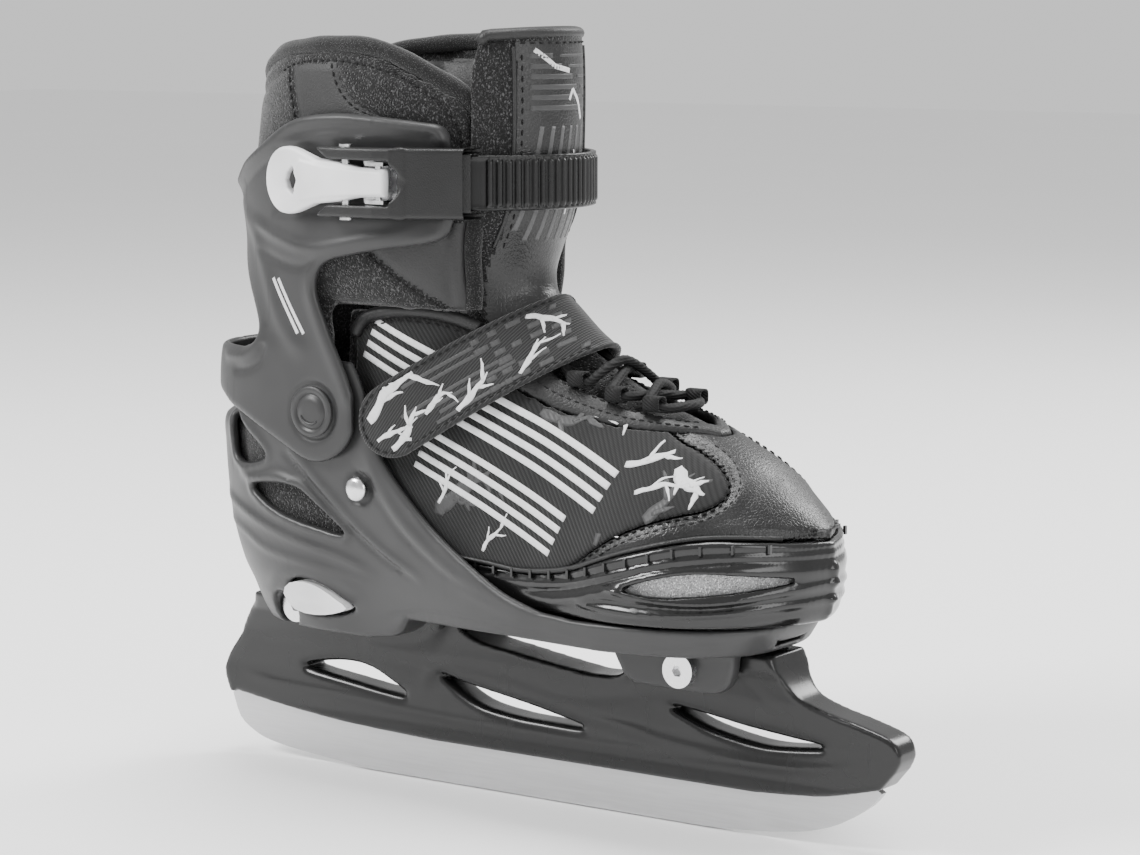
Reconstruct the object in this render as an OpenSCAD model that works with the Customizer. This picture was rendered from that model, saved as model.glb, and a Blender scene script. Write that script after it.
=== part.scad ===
// Adjustable ice skate for the right foot. A hard boot shell carries a hinged cuff, a toe
// section that slides through four sizes, and a plastic holder with a steel runner.
// +X points to the toe, -Y to the outer side and +Z up; the origin is the middle of the
// runner's flat running edge.

/* [Runner and holder] */
// Thickness of the steel runner
runner_t = 3; // [2.6:0.1:3.6]
// Thickness of the holder's rails
rail_t = 13; // [11:0.5:14]
// Diameter of the two cross bolts
bolt_d = 6; // [5:0.5:6]
// Diameter of the cross bolts' heads
head_d = 11.3; // [10.5:0.1:11.5]

/* [Boot shell] */
// Wall thickness of the boot shell
shell_t = 3; // [2.5:0.1:3]
// Radius of the round lobe at the foot of the cuff
lobe_r = 17.5; // [17:0.1:18]
// Diameter of the cuff's pivot bolts
pivot_d = 9; // [8:0.5:10]

/* [Toe section] */
// Travel of the toe section over its four sizes
toe_travel = 20; // [16:1:20]
// Wall thickness of the toe shell
bumper_t = 2.4; // [2:0.1:2.5]
// Thickness of the leather and textile upper
upper_t = 1.8; // [1.5:0.1:2]
// Diameter of the round lace
lace_d = 3.2; // [2.6:0.1:3.4]

/* [Cuff and buckle] */
// Wall thickness of the cuff
cuff_t = 3; // [2.5:0.1:3]
// Thickness of the padded liner
liner_t = 6; // [4:0.5:6]
// Width of the ladder strap
ladder_w = 18; // [16:0.5:18]
// Number of ribs along the ladder strap
ladder_ribs = 24; // [12:1:26]
// Thickness of the instep strap
strap_t = 2.6; // [2:0.1:3]

/* [Hidden] */
$fn = 32;

steel = [0.75, 0.76, 0.77];
black = [0.08, 0.08, 0.09];
dark = [0.2, 0.2, 0.21];
white = [0.92, 0.92, 0.92];
air = 0.4;            // clearance between parts of one body
fit = 0.06;           // radial clearance of a running fit
eps = 0.01;

// Places that several parts share, as [x, z] seen from the side
pivot = [-61, 132];
front_hole = [71, 55];
rear_hole = [-88, 59.3];
side_rivet_at = [-45, 106.6];
deck_z = 68.2;        // floor inside the boot shell
rim_z = 72.2;         // top of the sole's rim
bumper_z = 72.8;      // underside of the toe shell

// ---------------------------------------------------------------- curves and solids

function mix(a, b, s) = a + (b - a) * s;
function step01(s) = let (c = min(max(s, 0), 1)) c * c * (3 - 2 * c);
function span(t, x, i = 0) = (i >= len(t) - 2 || x < t[i + 1][0]) ? i : span(t, x, i + 1);
function grade(t, i) =
    let (a = max(i - 1, 0), b = min(i + 1, len(t) - 1)) (t[b][1] - t[a][1]) / (t[b][0] - t[a][0]);
// Smooth curve through the [position, value] keys of a table
function key(t, x) =
    let (i = span(t, x), h = t[i + 1][0] - t[i][0], s = min(max((x - t[i][0]) / h, 0), 1))
    (2 * s ^ 3 - 3 * s ^ 2 + 1) * t[i][1] + (s ^ 3 - 2 * s ^ 2 + s) * grade(t, i) * h
    + (3 * s ^ 2 - 2 * s ^ 3) * t[i + 1][1] + (s ^ 3 - s ^ 2) * grade(t, i + 1) * h;
function spline4(a, b, c, d, t) =
    0.5 * (2 * b + (c - a) * t + (2 * a - 5 * b + 4 * c - d) * t ^ 2 + (3 * b - a - 3 * c + d) * t ^ 3);
// Smooth open curve through points
function curve(p, n = 3) = [
    for (i = [0:len(p) - 2], k = [0:n - 1])
        spline4(p[max(i - 1, 0)], p[i], p[i + 1], p[min(i + 2, len(p) - 1)], k / n),
    p[len(p) - 1]];
// Smooth closed curve through points
function loop(p, n = 3) = let (m = len(p)) [
    for (i = [0:m - 1], k = [0:n - 1])
        spline4(p[(i + m - 1) % m], p[i], p[(i + 1) % m], p[(i + 2) % m], k / n)];
function root(s, n) = pow(max(1 - pow(min(max(s, 0), 1), n), 0), 1 / n);

// Solid through rings that all have the same number of points
module loft(rings) {
    n = len(rings[0]);
    m = len(rings);
    faces = [
        [for (j = [0:n - 1]) j],
        [for (j = [n - 1:-1:0]) (m - 1) * n + j],
        for (i = [0:m - 2], j = [0:n - 1])
            let (k = (j + 1) % n, a = i * n, b = a + n)
            each [[a + j, b + j, b + k], [a + j, b + k, a + k]]];
    polyhedron([for (r = rings, p = r) p], faces);
}
// Outline seen from the side, extruded from y0 to y1
module side(points, y0, y1)
    translate([0, y1, 0]) rotate([90, 0, 0]) linear_extrude(height = y1 - y0) polygon(points);
// Round bar or hole across the skate
module across(at, d, y0, y1)
    translate([at[0], y1, at[1]]) rotate([90, 0, 0]) cylinder(d = d, h = y1 - y0);
module upright(x, y, d, z0, z1) translate([x, y, z0]) cylinder(d = d, h = z1 - z0);
module block(a, b) translate(a) cube(b - a);
module both_sides() {
    children();
    mirror([0, 1, 0]) children();
}

// ---------------------------------------------------------------- runner and holder

runner_outline = concat(
    curve([[-133, 20], [-129.5, 11.5], [-123, 7], [-116, 4.6], [-102, 2.6], [-81, 0.9], [-70, 0]]),
    curve([[70, 0], [88, 1.1], [99, 2.4], [110, 4.2], [121, 8], [132, 15], [136.5, 20]]),
    [[131, 23.5], [60, 22], [-60, 22], [-126, 25]]);

module runner_blade() color(steel) side(runner_outline, -runner_t / 2, runner_t / 2);

holder_outline = concat(
    curve([[-133, 27], [-130.5, 21.4], [-128, 22.1]], 2),
    curve([[-100, 18.3], [-79, 16.2], [-59, 15.2], [-40, 14.5]], 2),
    curve([[90, 14.5], [106, 15.7], [117, 16.9], [128, 19.5], [138, 22.1]], 2),
    curve([[143, 28], [145, 33], [142, 38.5], [131, 42], [118, 45], [107, 49], [100.5, 55], [99.5, 62]]),
    [[52, 62]],
    curve([[47, 55], [40, 48.2], [30, 46.8], [21, 47.4], [8, 49], [-4, 50.7], [-17, 52.7], [-25, 56.5], [-29, 62]]),
    [[-110, 62]],
    curve([[-118, 53], [-124, 44.5], [-131, 35.5], [-133.5, 30]]));
window_rear = loop([[-95, 34.5], [-88, 37.2], [-76, 38.6], [-66, 37.4], [-57, 33.4], [-51, 29.8], [-60, 30.2],
    [-76, 32]]);
window_mid = loop([[-35, 38.8], [-23, 36.5], [-4, 33.5], [10, 31], [24, 27.8], [8, 27.8], [-6, 28.4], [-21, 31]]);
window_front = loop([[60, 39.6], [74, 38.2], [88, 36.2], [104, 34.6], [117, 33.2], [106, 31.7], [94, 31.2],
    [80, 33], [69, 35.6]]);
// Half thickness of the holder from its lower rail up to the seat of its towers
holder_front_view = [[-4.2, 14], [-rail_t / 2, 20], [-rail_t / 2 + 0.5, 33], [-rail_t / 2 - 0.5, 46],
    [-9.5, 54], [-15.5, 61.6], [15.5, 61.6], [9.5, 54], [rail_t / 2 + 0.5, 46], [rail_t / 2 - 0.5, 33],
    [rail_t / 2, 20], [4.2, 14]];

module blade_holder() color(black) difference() {
    intersection() {
        union() {
            side(holder_outline, -8, 8);
            side([[-122, 46], [-40, 46], [-27, 61.6], [-111, 61.6]], -16, 16);
            side([[50, 46], [108, 46], [99.8, 61.6], [52, 61.6]], -11.3, 11.3);
        }
        rotate([90, 0, 90]) translate([0, 0, -140]) linear_extrude(height = 290)
            polygon(holder_front_view);
        side(concat([[-200, 0], [200, 0], [200, 61.6], [-200, 61.6]]), -20, 20);
    }
    for (w = [window_rear, window_mid, window_front]) side(w, -20, 20);
    side(runner_outline, -runner_t / 2, runner_t / 2);
    for (p = [front_hole, rear_hole]) cross_hole(p);
}

// ---------------------------------------------------------------- cross bolts

// Hole for a cross bolt, wider on the far side where the barrel nut runs in
module cross_hole(at) {
    across(at, bolt_d + 2 * fit, -60, 60);
    across(at, nut_d + 2 * fit, nut_y - 0.1, 60);
}

bolt_y = -17.2;       // outer face of the front lug, where the head seats
head_t = 2.8;
nut_d = bolt_d + 2.2;   // barrel nut on the far side, and where its barrel starts
nut_y = 9;

module cross_bolt(at, y) color(steel) difference() {
    union() {
        across(at, bolt_d, y, 12);
        across(at, head_d, y - head_t, y);
    }
    across(at, 4, y - head_t - 1, y - head_t + 2, $fn = 6);
}
module barrel_nut(at, y) color(steel) difference() {
    union() {
        across(at, nut_d, nut_y, y);
        across(at, head_d, y, y + head_t);
    }
    across(at, bolt_d, 8, 14);
    across(at, 4, y + head_t - 2, y + head_t + 1, $fn = 6);
}
module front_bolt() cross_bolt(front_hole, bolt_y);
module front_nut() barrel_nut(front_hole, -bolt_y);
module rear_bolt() cross_bolt(rear_hole, bolt_y);
module rear_nut() barrel_nut(rear_hole, -bolt_y);

// ---------------------------------------------------------------- boot shell

heel_back = [[48, -107], [56, -111.5], [66, -115.5], [74, -119.5], [92, -124], [116, -125.5], [125, -125],
    [130, -118.5], [150, -115]];
sole_front = [[48, 96], [62, 100], [72, 104.5], [152, 104.5]];
heel_half = [[48, 24], [56, 27.5], [66, 31], [80, 34.5], [100, 36.8], [118, 38.2], [150, 38.7]];
ball_half = [[48, 35], [62, 39.5], [72, 42.4], [84, 43], [152, 41]];

// Foot-shaped plan: xh and xt are the heel and toe ends, wh and wb the half widths there
function plan_half(u, wh, wb, rear = 0.25, front = 0.72) =
    mix(wh, wb, step01((u - 0.3) / 0.35)) * root((rear - u) / rear, 2.2) * root((u - front) / (1 - front), 2.7);
function plan(z, xh, xt, wh, wb, n = 18) =
    let (u = [for (i = [0:n]) (1 - cos(180 * i / n)) / 2],
        h = [for (v = u) max(plan_half(v, wh, wb), 2)])
    concat([for (i = [0:n]) [mix(xh, xt, u[i]), -h[i], z]],
        [for (i = [n:-1:0]) [mix(xh, xt, u[i]), h[i], z]]);
function shell_ring(z, off) =
    plan(z, key(heel_back, z) + off, key(sole_front, z) - off, key(heel_half, z) - off, key(ball_half, z) - off);

shell_outline = concat(
    [[-118, 53], [-52, 53]],
    curve([[-39, 55], [-34, 57.8], [-30, 62.4]], 2),
    [[120, 62.4], [120, rim_z], [45, rim_z]],
    curve([[32, 73.5], [18, 78], [6, 84], [-6, 91], [-16, 98], [-25, 106], [-33, 114.5], [-39, 125], [-42, 137],
        [-48, 149]]),
    [[-62, 150], [-100, 146], [-130, 143]]);
vent_upper = loop([[-106, 127], [-96, 121.5], [-87, 115], [-92, 111.8], [-102, 111], [-106, 115.5]], 2);
vent_lower = loop([[-95, 103.2], [-84, 105], [-73, 104.8], [-66, 101], [-53, 90.4], [-66, 91.6], [-80, 94.6],
    [-90, 98.6]], 2);
lug_outline = concat([[41, 63], [48, 50.5]], curve([[52, 48.4], [80, 48], [87.5, 50.5], [90, 56], [90.5, 63]], 2));
button_outline = loop([[-82, 66.5], [-79.5, 70.3], [-73, 71.3], [-66, 69.8], [-59, 66.6], [-54.5, 64], [-60, 61.6],
    [-68, 60.4], [-77, 61.4]], 2);
rack_x0 = -92;
rack_half = 8;
rack_z = [65, 68];
latch_x = [-73, -65];
latch_z = [62.6, 64.7];
button_travel = 2.5;

module boot_shell() color(dark) difference() {
    union() {
        difference() {
            intersection() {
                loft([for (z = [48, 56, 64, 72, 82, 92, 104, 116, 125, 130, 140, 152]) shell_ring(z, 0)]);
                side(shell_outline, -60, 60);
            }
            loft([for (z = [deck_z, 76, 84, 96, 112, 122, 126, 131, 140, 153]) shell_ring(z, shell_t)]);
        }
        both_sides() side(lug_outline, bolt_y, -11.5);
    }
    side([[-140, 40], [-29.5, 40], [-29.5, 61.8], [-140, 61.8]], -16, 16);
    side([[30, 40], [110, 40], [110, 61.8], [30, 61.8]], -11.7, 11.7);
    for (p = [front_hole, rear_hole]) cross_hole(p);
    both_sides() across(rear_hole, head_d + 1.4, -60, bolt_y);
    both_sides() across(pivot, pivot_d + 2 * fit, -60, -20);
    both_sides() across(side_rivet_at, 4, -60, -20);
    both_sides() for (v = [vent_upper, vent_lower]) side(v, -60, -20);
    block([rack_x0, -rack_half - air, rack_z[0] - air], [79 + toe_travel + 2, rack_half + air, deck_z + 1]);
    block([latch_x[0] - air, -40, latch_z[0] - 0.3], [latch_x[1] + air, 24, latch_z[1] + 0.3]);
    block([latch_x[0] - air, rack_half - 1, latch_z[0]], [latch_x[1] + air, rack_half + 7, deck_z + 1]);
    side([for (p = button_outline) [-68 + (p[0] + 68) * 1.06, 66 + (p[1] - 66) * 1.14]], -60, -25);
}

module cuff_pivot_bolts() color(dark) both_sides() {
    across(pivot, pivot_d, -42.4, -34.8);
    across(pivot, 17.4, -43.6, -42.4);
}
module cuff_pivot_nuts() color(steel) both_sides() across(pivot, 15, -34.8, -33.2);
module side_rivets() color(steel) both_sides() {
    across(side_rivet_at, 8.4, -40.6, -38.9);
    across(side_rivet_at, 4, -38.9, -34.2);
    across(side_rivet_at, 7, -34.2, -33.4);
}

// ---------------------------------------------------------------- size latch and button

module push_button() color(white) union() {
    side(button_outline, -33.4, -28.4);
    block([latch_x[0] + 1, -28.4, latch_z[0]], [latch_x[1] - 1, -24, latch_z[1]]);
}
module size_latch() color(steel) union() {
    block([latch_x[0], -24, latch_z[0]], [latch_x[1], 13, latch_z[1]]);
    block([latch_x[0] + 2, rack_half + air, latch_z[1]], [latch_x[1] - 2, rack_half + 3.5, rack_z[1] - 0.5]);
}
module button_spring() color(steel) for (i = [0:5])
    translate([-69, 16.2 + 1.3 * i, 63.6]) rotate([90, 0, 0]) rotate_extrude()
        translate([0.75, 0]) circle(d = 0.5, $fn = 16);

// ---------------------------------------------------------------- toe section

size_pitch = toe_travel / 3;

module size_rack() color(dark) difference() {
    union() {
        block([rack_x0 + 4, -rack_half, rack_z[0]], [60, rack_half, rack_z[1]]);
        block([-8, -rack_half, rack_z[1]], [60, rack_half, bumper_z]);
    }
    for (k = [0:3]) block([latch_x[0] + 1.7 - k * size_pitch, rack_half - 2.3, rack_z[0] - 1],
        [latch_x[1] - 1.7 - k * size_pitch, rack_half + 1, rack_z[1] + 1]);
    for (x = [10, 48]) upright(x, 0, 3, rack_z[0] + 2, bumper_z + 1);
}
module rack_screws() color(steel) for (x = [10, 48]) {
    upright(x, 0, 3, rack_z[0] + 2, bumper_z + 2.7);
    upright(x, 0, 6, bumper_z + 2.7, bumper_z + 3.4);
}

toe_half = [[0, 35.4], [20, 38.5], [38, 40.9], [58, 44.4], [72, 44], [86, 40.5], [98, 33], [107, 24],
    [114, 12.5], [118, 0.3]];
toe_round = [[72, 0.945], [80, 0.99], [90, 1], [101, 0.985]];   // how far the wall bulges, by height
seam = [[-16, 86.5], [8, 85.5], [22, 84.8], [42, 87.5], [64, 95], [86, 100.5], [100, 101], [118, 99]];
toe_x = [0, 12, 24, 36, 48, 60, 72, 82, 90, 97, 103, 108, 112, 115, 117, 118];

function toe_side(z, off, x0, y_sign) = let (k = key(toe_round, z))
    [for (i = [0:len(toe_x)]) let (x = i == 0 ? x0 : toe_x[i - 1])
        [x * (x > 0 ? 1 - (1 - k) * 0.6 : 1) - off * max(x - 60, 0) / 58,
        y_sign * max(key(toe_half, x) * k - off, 1.5), z]];
function toe_ring(z, off, x0) = let (far = toe_side(z, off, x0, 1))
    concat(toe_side(z, off, x0, -1), [for (i = [len(far) - 1:-1:0]) far[i]]);
seam_cut = concat([[-30, 60], [130, 60], [130, 98.6]], [for (x = [118:-8:-26]) [x, key(seam, x)]]);
vent_eye = loop([[66, 84.6], [76, 88.4], [88, 90.8], [100, 90.4], [112, 88], [100, 85.4], [88, 84], [76, 83.4]], 2);

module toe_shell() color(black) difference() {
    intersection() {
        loft([for (z = [bumper_z, 76, 80, 85, 90, 96, 102]) toe_ring(z, 0, -15)]);
        side(seam_cut, -60, 60);
    }
    loft([for (z = [bumper_z + 2.6, 80, 85, 90, 96, 103]) toe_ring(z, bumper_t, -12)]);
    block([-20, -30.5, bumper_z + 3.1], [-11, 30.5, 110]);
    side(vent_eye, -60, 60);
    for (x = [10, 48]) upright(x, 0, 3, bumper_z - 1, bumper_z + 4);
}
module toe_vent_mesh() color(steel) intersection() {
    difference() {
        loft([for (z = [76, 80, 85, 90, 96]) toe_ring(z, bumper_t + 0.1, -15)]);
        loft([for (z = [75, 80, 85, 90, 97]) toe_ring(z, bumper_t + 0.9, -20)]);
    }
    side([for (p = vent_eye) [89 + (p[0] - 89) * 1.06, 87 + (p[1] - 87) * 1.4]], -60, 60);
}

// The upper is a dome over the foot: half width, crown height and roundness by station
dome_half = [[-50, 31.4], [-36, 33.4], [-20, 34.6], [0, 35.4], [20, 37.8], [38, 40.4], [58, 43], [72, 42.8],
    [86, 39.6], [98, 32.4], [107, 23.4], [113, 13], [116, 2]];
dome_top = [[-50, 232], [-36, 214], [-20, 196], [0, 177], [13, 166.5], [24, 157], [36, 149.5], [50, 142],
    [64, 136.5], [76, 130.5], [88, 124], [98, 117], [107, 109.5], [113, 104], [116, 100.5]];
dome_power = [[-50, 2.8], [-30, 2.6], [-10, 2.1], [20, 1.65], [60, 1.75], [80, 2], [116, 2.2]];
dome_x = [-50, -40, -30, -20, -10, 0, 10, 20, 30, 40, 50, 60, 68, 76, 84, 91, 98, 104, 109, 113, 116];

function dome_ring(x, off, zb = 82, n = 16) =
    let (w = max(key(dome_half, x) + off, 0.1), h = max(key(dome_top, x) + off - zb, 0.5), p = 2 / key(dome_power, x))
    [for (i = [0:n]) let (a = 180 * i / n, c = cos(a))
        [x, w * sign(c) * pow(abs(c), p), zb + h * pow(max(sin(a), 0), p)]];
module dome(off) loft([for (x = dome_x) dome_ring(x, off)]);
module dome_skin(outer, inner) difference() {
    dome(outer);
    translate([-0.02, 0, 0]) loft([for (x = concat([-52], [for (i = [1:len(dome_x) - 3]) dome_x[i]], [111]))
        dome_ring(x, inner, 78)]);
}
function above_seam(x0, x1, lift) = [for (x = [x0:8:x1]) [x, key(seam, x) + lift]];
// Rear and front edges of the side panels, seen from the side
vamp_front = curve([[41, 88.2], [44, 92.4], [52, 98], [63, 102], [76, 105], [88, 107.5], [95, 110], [97, 114],
    [93, 119], [86, 124.8], [80, 128.4], [72, 131]], 2);
vamp_area = concat(above_seam(-52, 36, 0.3), vamp_front, [[72, 190], [-6, 190]],
    curve([[-6, 161.5], [-14, 164.6], [-23, 166.4], [-35, 166.4], [-47, 163.5], [-52, 158]], 2));
cap_area = concat(above_seam(48, 118, 0.3), [[124, 99], [124, 150], [60, 150], [60, 140], [72, 131.4]],
    [for (i = [len(vamp_front) - 2:-1:1]) vamp_front[i] + [0.25, -0.25]]);
// Throat opening seen from above, and the eyestay band around it
throat_half = [[-6, 24], [5, 19], [24, 16], [40, 14.5], [55, 12], [66, 8], [72, 0.5]];
eyestay_w = 5;
function throat_edge(off) = let (xs = [-6, 5, 15, 24, 32, 40, 48, 55, 61, 66, 69.5, 72])
    [for (x = xs) [x + (x > 60 ? off * (x - 60) / 12 : 0), key(throat_half, x) + off * (x > 60 ? (84 - x) / 24 : 1)]];
module throat_area(off) linear_extrude(height = 260)
    polygon(concat(throat_edge(off), [for (i = [11:-1:0]) let (p = throat_edge(off)[i]) [p[0], -p[1]]]));

module toe_cap() color(black) difference() {
    intersection() {
        dome_skin(0, -upper_t);
        side(cap_area, -60, 60);
    }
    throat_area(eyestay_w + 0.3);
}
module vamp_panel(y0, y1) difference() {
    intersection() {
        dome_skin(0, -upper_t);
        side(vamp_area, y0, y1);
    }
    throat_area(eyestay_w + 0.3);
}
module vamp_panel_near() color(dark) vamp_panel(-60, -5);
module vamp_panel_far() color(dark) vamp_panel(5, 60);
module eyestay() color(black) difference() {
    intersection() {
        dome_skin(0.9, -upper_t);
        throat_area(eyestay_w);
        block([-5, -60, 120], [80, 60, 200]);
    }
    throat_area(0);
}
module throat_mesh() color(black) intersection() {
    dome_skin(-upper_t - 0.9, -upper_t - 2.2);
    throat_area(3);
    block([-5, -60, 120], [80, 60, 200]);
}

// Lace loops sit along the eyestay; the lace crosses between them
loop_x = [30, 44, 57];
loop_out = 1;          // how far outside the throat's edge a loop sits
loop_lift = 4.7;       // height of a loop's middle over the upper
lace_lift = 3.8;       // height of the lace inside the loops
function upper_z(x, y) = let (h = key(dome_top, x) - 82, n = key(dome_power, x))
    82 + h * pow(1 - pow(min(abs(y) / key(dome_half, x), 1), n), 1 / n);
module lace_loops() color(black) both_sides() for (x = loop_x) let (y = key(throat_half, x) + loop_out)
    translate([x, y, upper_z(x, y) + loop_lift]) rotate([0, 30, 0]) difference() {
        block([-3, -2.6, -2.1], [3, 2.6, 2.6]);
        block([-4, -1.9, -1.75], [4, 1.9, 1.95]);
    }
// Way of the lace as [x, y, height over the upper]: out of the strap on the far side, through the
// loops in turn, across the toe end and back under the strap on the near side
lace_way = [[9, 11.6, -0.3], [15, 12.2, -0.3], [20, 12.4, -0.3], [25.5, 14.4, 0.2],
    [30, 16.6, lace_lift], [33.4, 14.6, 3.6], [35.5, 8, 0.8], [37.3, 0, -0.3], [39.4, -8, 0.8],
    [41, -13.4, 3.4], [44, -15, lace_lift], [47, -12.8, 3.4], [49, -7, 0.8], [50.6, 0, -0.3],
    [52.2, 6, 0.8], [54, 11.6, 3.4], [57, 12.6, lace_lift], [60.4, 9.4, 2.6], [61.8, 4, 1.4],
    [62, 0, 1.2], [61.8, -4, 1.4], [60.4, -9.4, 2.6], [57, -12.6, lace_lift], [54, -11.6, 3.4],
    [52.2, -6, 3], [50.6, 0, 3.1], [49, 7, 3], [47, 12.8, 3.4], [44, 15, lace_lift], [41, 13.4, 3.4],
    [39.4, 8, 3], [37.3, 0, 3.1], [35.5, -8, 3], [33.4, -14.6, 3.6], [30, -16.6, lace_lift],
    [25.5, -14.4, 0.2], [20, -12.4, -0.3], [15, -12.2, -0.3], [9, -11.6, -0.3]];
lace_route = [for (p = lace_way) [p[0], p[1], upper_z(p[0], p[1]) + p[2]]];
function unit(v) = v / norm(v);
module lace() color(black) {
    n = len(lace_route);
    loft([for (i = [0:n - 1])
        let (t = unit(lace_route[min(i + 1, n - 1)] - lace_route[max(i - 1, 0)]), r = unit(cross([0, 0, 1], t)),
            u = cross(t, r))
        [for (k = [0:7]) lace_route[i] + lace_d / 2 * (r * cos(45 * k) + u * sin(45 * k))]]);
}

// ---------------------------------------------------------------- liner, footbed, tongue

liner_gap = 0.7;       // clearance between the liner and the shell
liner_z = [80.6, 142]; // the liner's heel part rises from the insole to the cuff part
liner_arm = 28.8;      // half width of its arms, which run forward inside the upper
module heel_plan(off) intersection() {
    loft([for (z = [liner_z[0] - off / 9, 88, 96, 112, 122, 126, 131, liner_z[1] + off / 9])
        shell_ring(z, shell_t + liner_gap + off)]);
    union() {
        block([-140, -60, 70], [-57, 60, 150]);
        block([-57.5, -liner_arm + off, 70], [-8 + off, liner_arm - off, 150]);
    }
}
module heel_liner() color(dark) difference() {
    heel_plan(0);
    heel_plan(liner_t - 1);
    block([-20, -60, 70], [20, 60, 160]);
    side([[-62, 143], [-8, 128], [0, 143]], -60, 60);
    both_sides() across(pivot, 17, -60, -32.8);
}
function bed_plan(z, x0, x1, w0, w1) = plan(z, x0, x1, w0, w1, 14);
module footbed() color(black) loft([bed_plan(deck_z + 0.2, -105, -16, 24.5, 24.5), bed_plan(75.2, -107, -16, 26, 26)]);
module insole() color(dark) loft([bed_plan(76.4, -108, 88, 24, 30.4), bed_plan(80, -109, 90, 24.6, 31)]);

cuff_mid = -51;
// Section of the leg by height: half length to the rear and to the front, and half width
leg_rear = [[150, 61], [166, 60.5], [185, 59.2], [205, 61.2], [235, 57], [255, 53]];
leg_front = [[150, 56], [175, 60], [210, 61.5], [235, 62], [262, 63]];
leg_half = [[150, 37.5], [170, 39], [190, 41], [210, 41.5], [262, 41.5]];
function leg_ring(z, off, n = 40) = [for (i = [0:n - 1]) let (a = 360 * i / n, c = cos(a))
    [cuff_mid + c * ((c < 0 ? key(leg_rear, z) : key(leg_front, z)) - off), (key(leg_half, z) - off) * sin(a), z]];
liner_side = concat([[-130, 153], [-60, 170], [-30, 176], [-2, 190]],
    curve([[-3, 218], [-5, 232], [-9, 239], [-17, 244.5], [-27, 250], [-37, 253.7], [-51, 254.6], [-66, 253.6],
        [-80, 251.5], [-94, 246.5], [-103, 239], [-112, 232]], 2), [[-130, 230]]);
module liner_cuff() color(dark) difference() {
    intersection() {
        loft([for (z = [150, 166, 185, 210, 235, 255]) leg_ring(z, 0)]);
        side(liner_side, -60, 60);
    }
    loft([for (z = [149, 166, 185, 210, 235, 256]) leg_ring(z, liner_t)]);
}
tongue_side = concat([[-14, 192], [14, 192], [14, 235]],
    curve([[14, 250], [12, 258.5], [2, 261.8], [-12, 260], [-26, 255], [-34, 251]], 2), [[-34, 225]]);
module tongue() color(black) difference() {
    intersection() {
        loft([for (z = [190, 210, 235, 262]) leg_ring(z, liner_t + 0.4)]);
        side(tongue_side, -29, 29);
    }
    loft([for (z = [189, 210, 235, 263]) leg_ring(z, liner_t + 5.4)]);
    block([-60, -60, 185], [-16, 60, 226]);
}

// ---------------------------------------------------------------- cuff

cuff_rear = [[110, 72], [128, 71], [151, 71.6], [158, 64.6], [185, 63], [202, 66], [212, 66]];
cuff_front = [[110, 34], [150, 48], [175, 60], [190, 65], [235, 66]];
cuff_half = [[110, 42.2], [150, 42.6], [175, 44], [195, 45], [235, 45.4]];
cuff_power = [[110, 3.4], [150, 2.6], [190, 2], [235, 2]];
function cuff_ring(z, off, n = 44) = [for (i = [0:n - 1]) let (a = 360 * i / n, c = cos(a), s = sin(a),
    p = 2 / key(cuff_power, z))
    [cuff_mid + sign(c) * pow(abs(c), p) * ((c < 0 ? key(cuff_rear, z) : key(cuff_front, z)) - off),
    (key(cuff_half, z) - off) * sign(s) * pow(abs(s), p), z]];
cuff_side = concat(
    [for (a = [-20:-14:-118]) pivot + lobe_r * [cos(a), sin(a)]],
    curve([[-81, 122.2], [-94, 127.6], [-103, 130.6], [-112, 134], [-128, 136]], 2),
    [[-128, 208]],
    curve([[-108, 209], [-98, 214], [-83, 222], [-71, 228], [-61, 231], [-46, 232.2], [-32, 231.4], [-18, 229.8],
        [-11.5, 228.6], [-9, 225]], 2),
    curve([[-8.6, 203], [-9, 196], [-13, 190.6], [-30, 187.6], [-42, 185.5], [-53, 182.7], [-57.6, 178.4],
        [-58.6, 172], [-55, 162.2], [-53, 157.3], [-48, 146.8], [-44.6, 138.6]], 2));
rear_window = concat([[-130, 151]], curve([[-96, 151.6], [-90, 154], [-88.6, 158.8], [-93, 167], [-103, 179], [-108, 190]], 2),
    [[-130, 190]]);
base_pin_at = [-27, -48.6];
frame_pin_at = [-40, -49.4];
base_rivet_x = [-21.5, -35.5];

module cuff() color(dark) difference() {
    intersection() {
        loft([for (z = [112, 128, 140, 151, 158, 172, 190, 210, 234]) cuff_ring(z, 0)]);
        side(cuff_side, -60, 60);
    }
    loft([for (z = [110, 128, 140, 151, 158, 172, 190, 210, 236]) cuff_ring(z, cuff_t)]);
    side(rear_window, -60, 60);
    both_sides() across(pivot, pivot_d + 2 * fit, -60, -20);
    for (x = base_rivet_x) across([x, 210], 3, -60, -20);
    across([-20, 210], 4, 20, 60);
}

// ---------------------------------------------------------------- buckle

// Curved plate that follows the cuff between two angles, off0 to off1 outside its wall
function bow(t, off) = [cuff_mid + (66 + off) * cos(t), -(45.1 + off) * sin(t)];
module bowed(t0, t1, off0, off1, z0, z1, n = 12) translate([0, 0, z0]) linear_extrude(height = z1 - z0)
    polygon(concat([for (i = [0:n]) bow(mix(t0, t1, i / n), off0)],
        [for (i = [n:-1:0]) bow(mix(t0, t1, i / n), off1)]));
buckle_z = 210;
arm_z = [11.5, 7.4];      // outer and inner height of the frame's arms from the middle
neck_half = 6.6;

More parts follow.
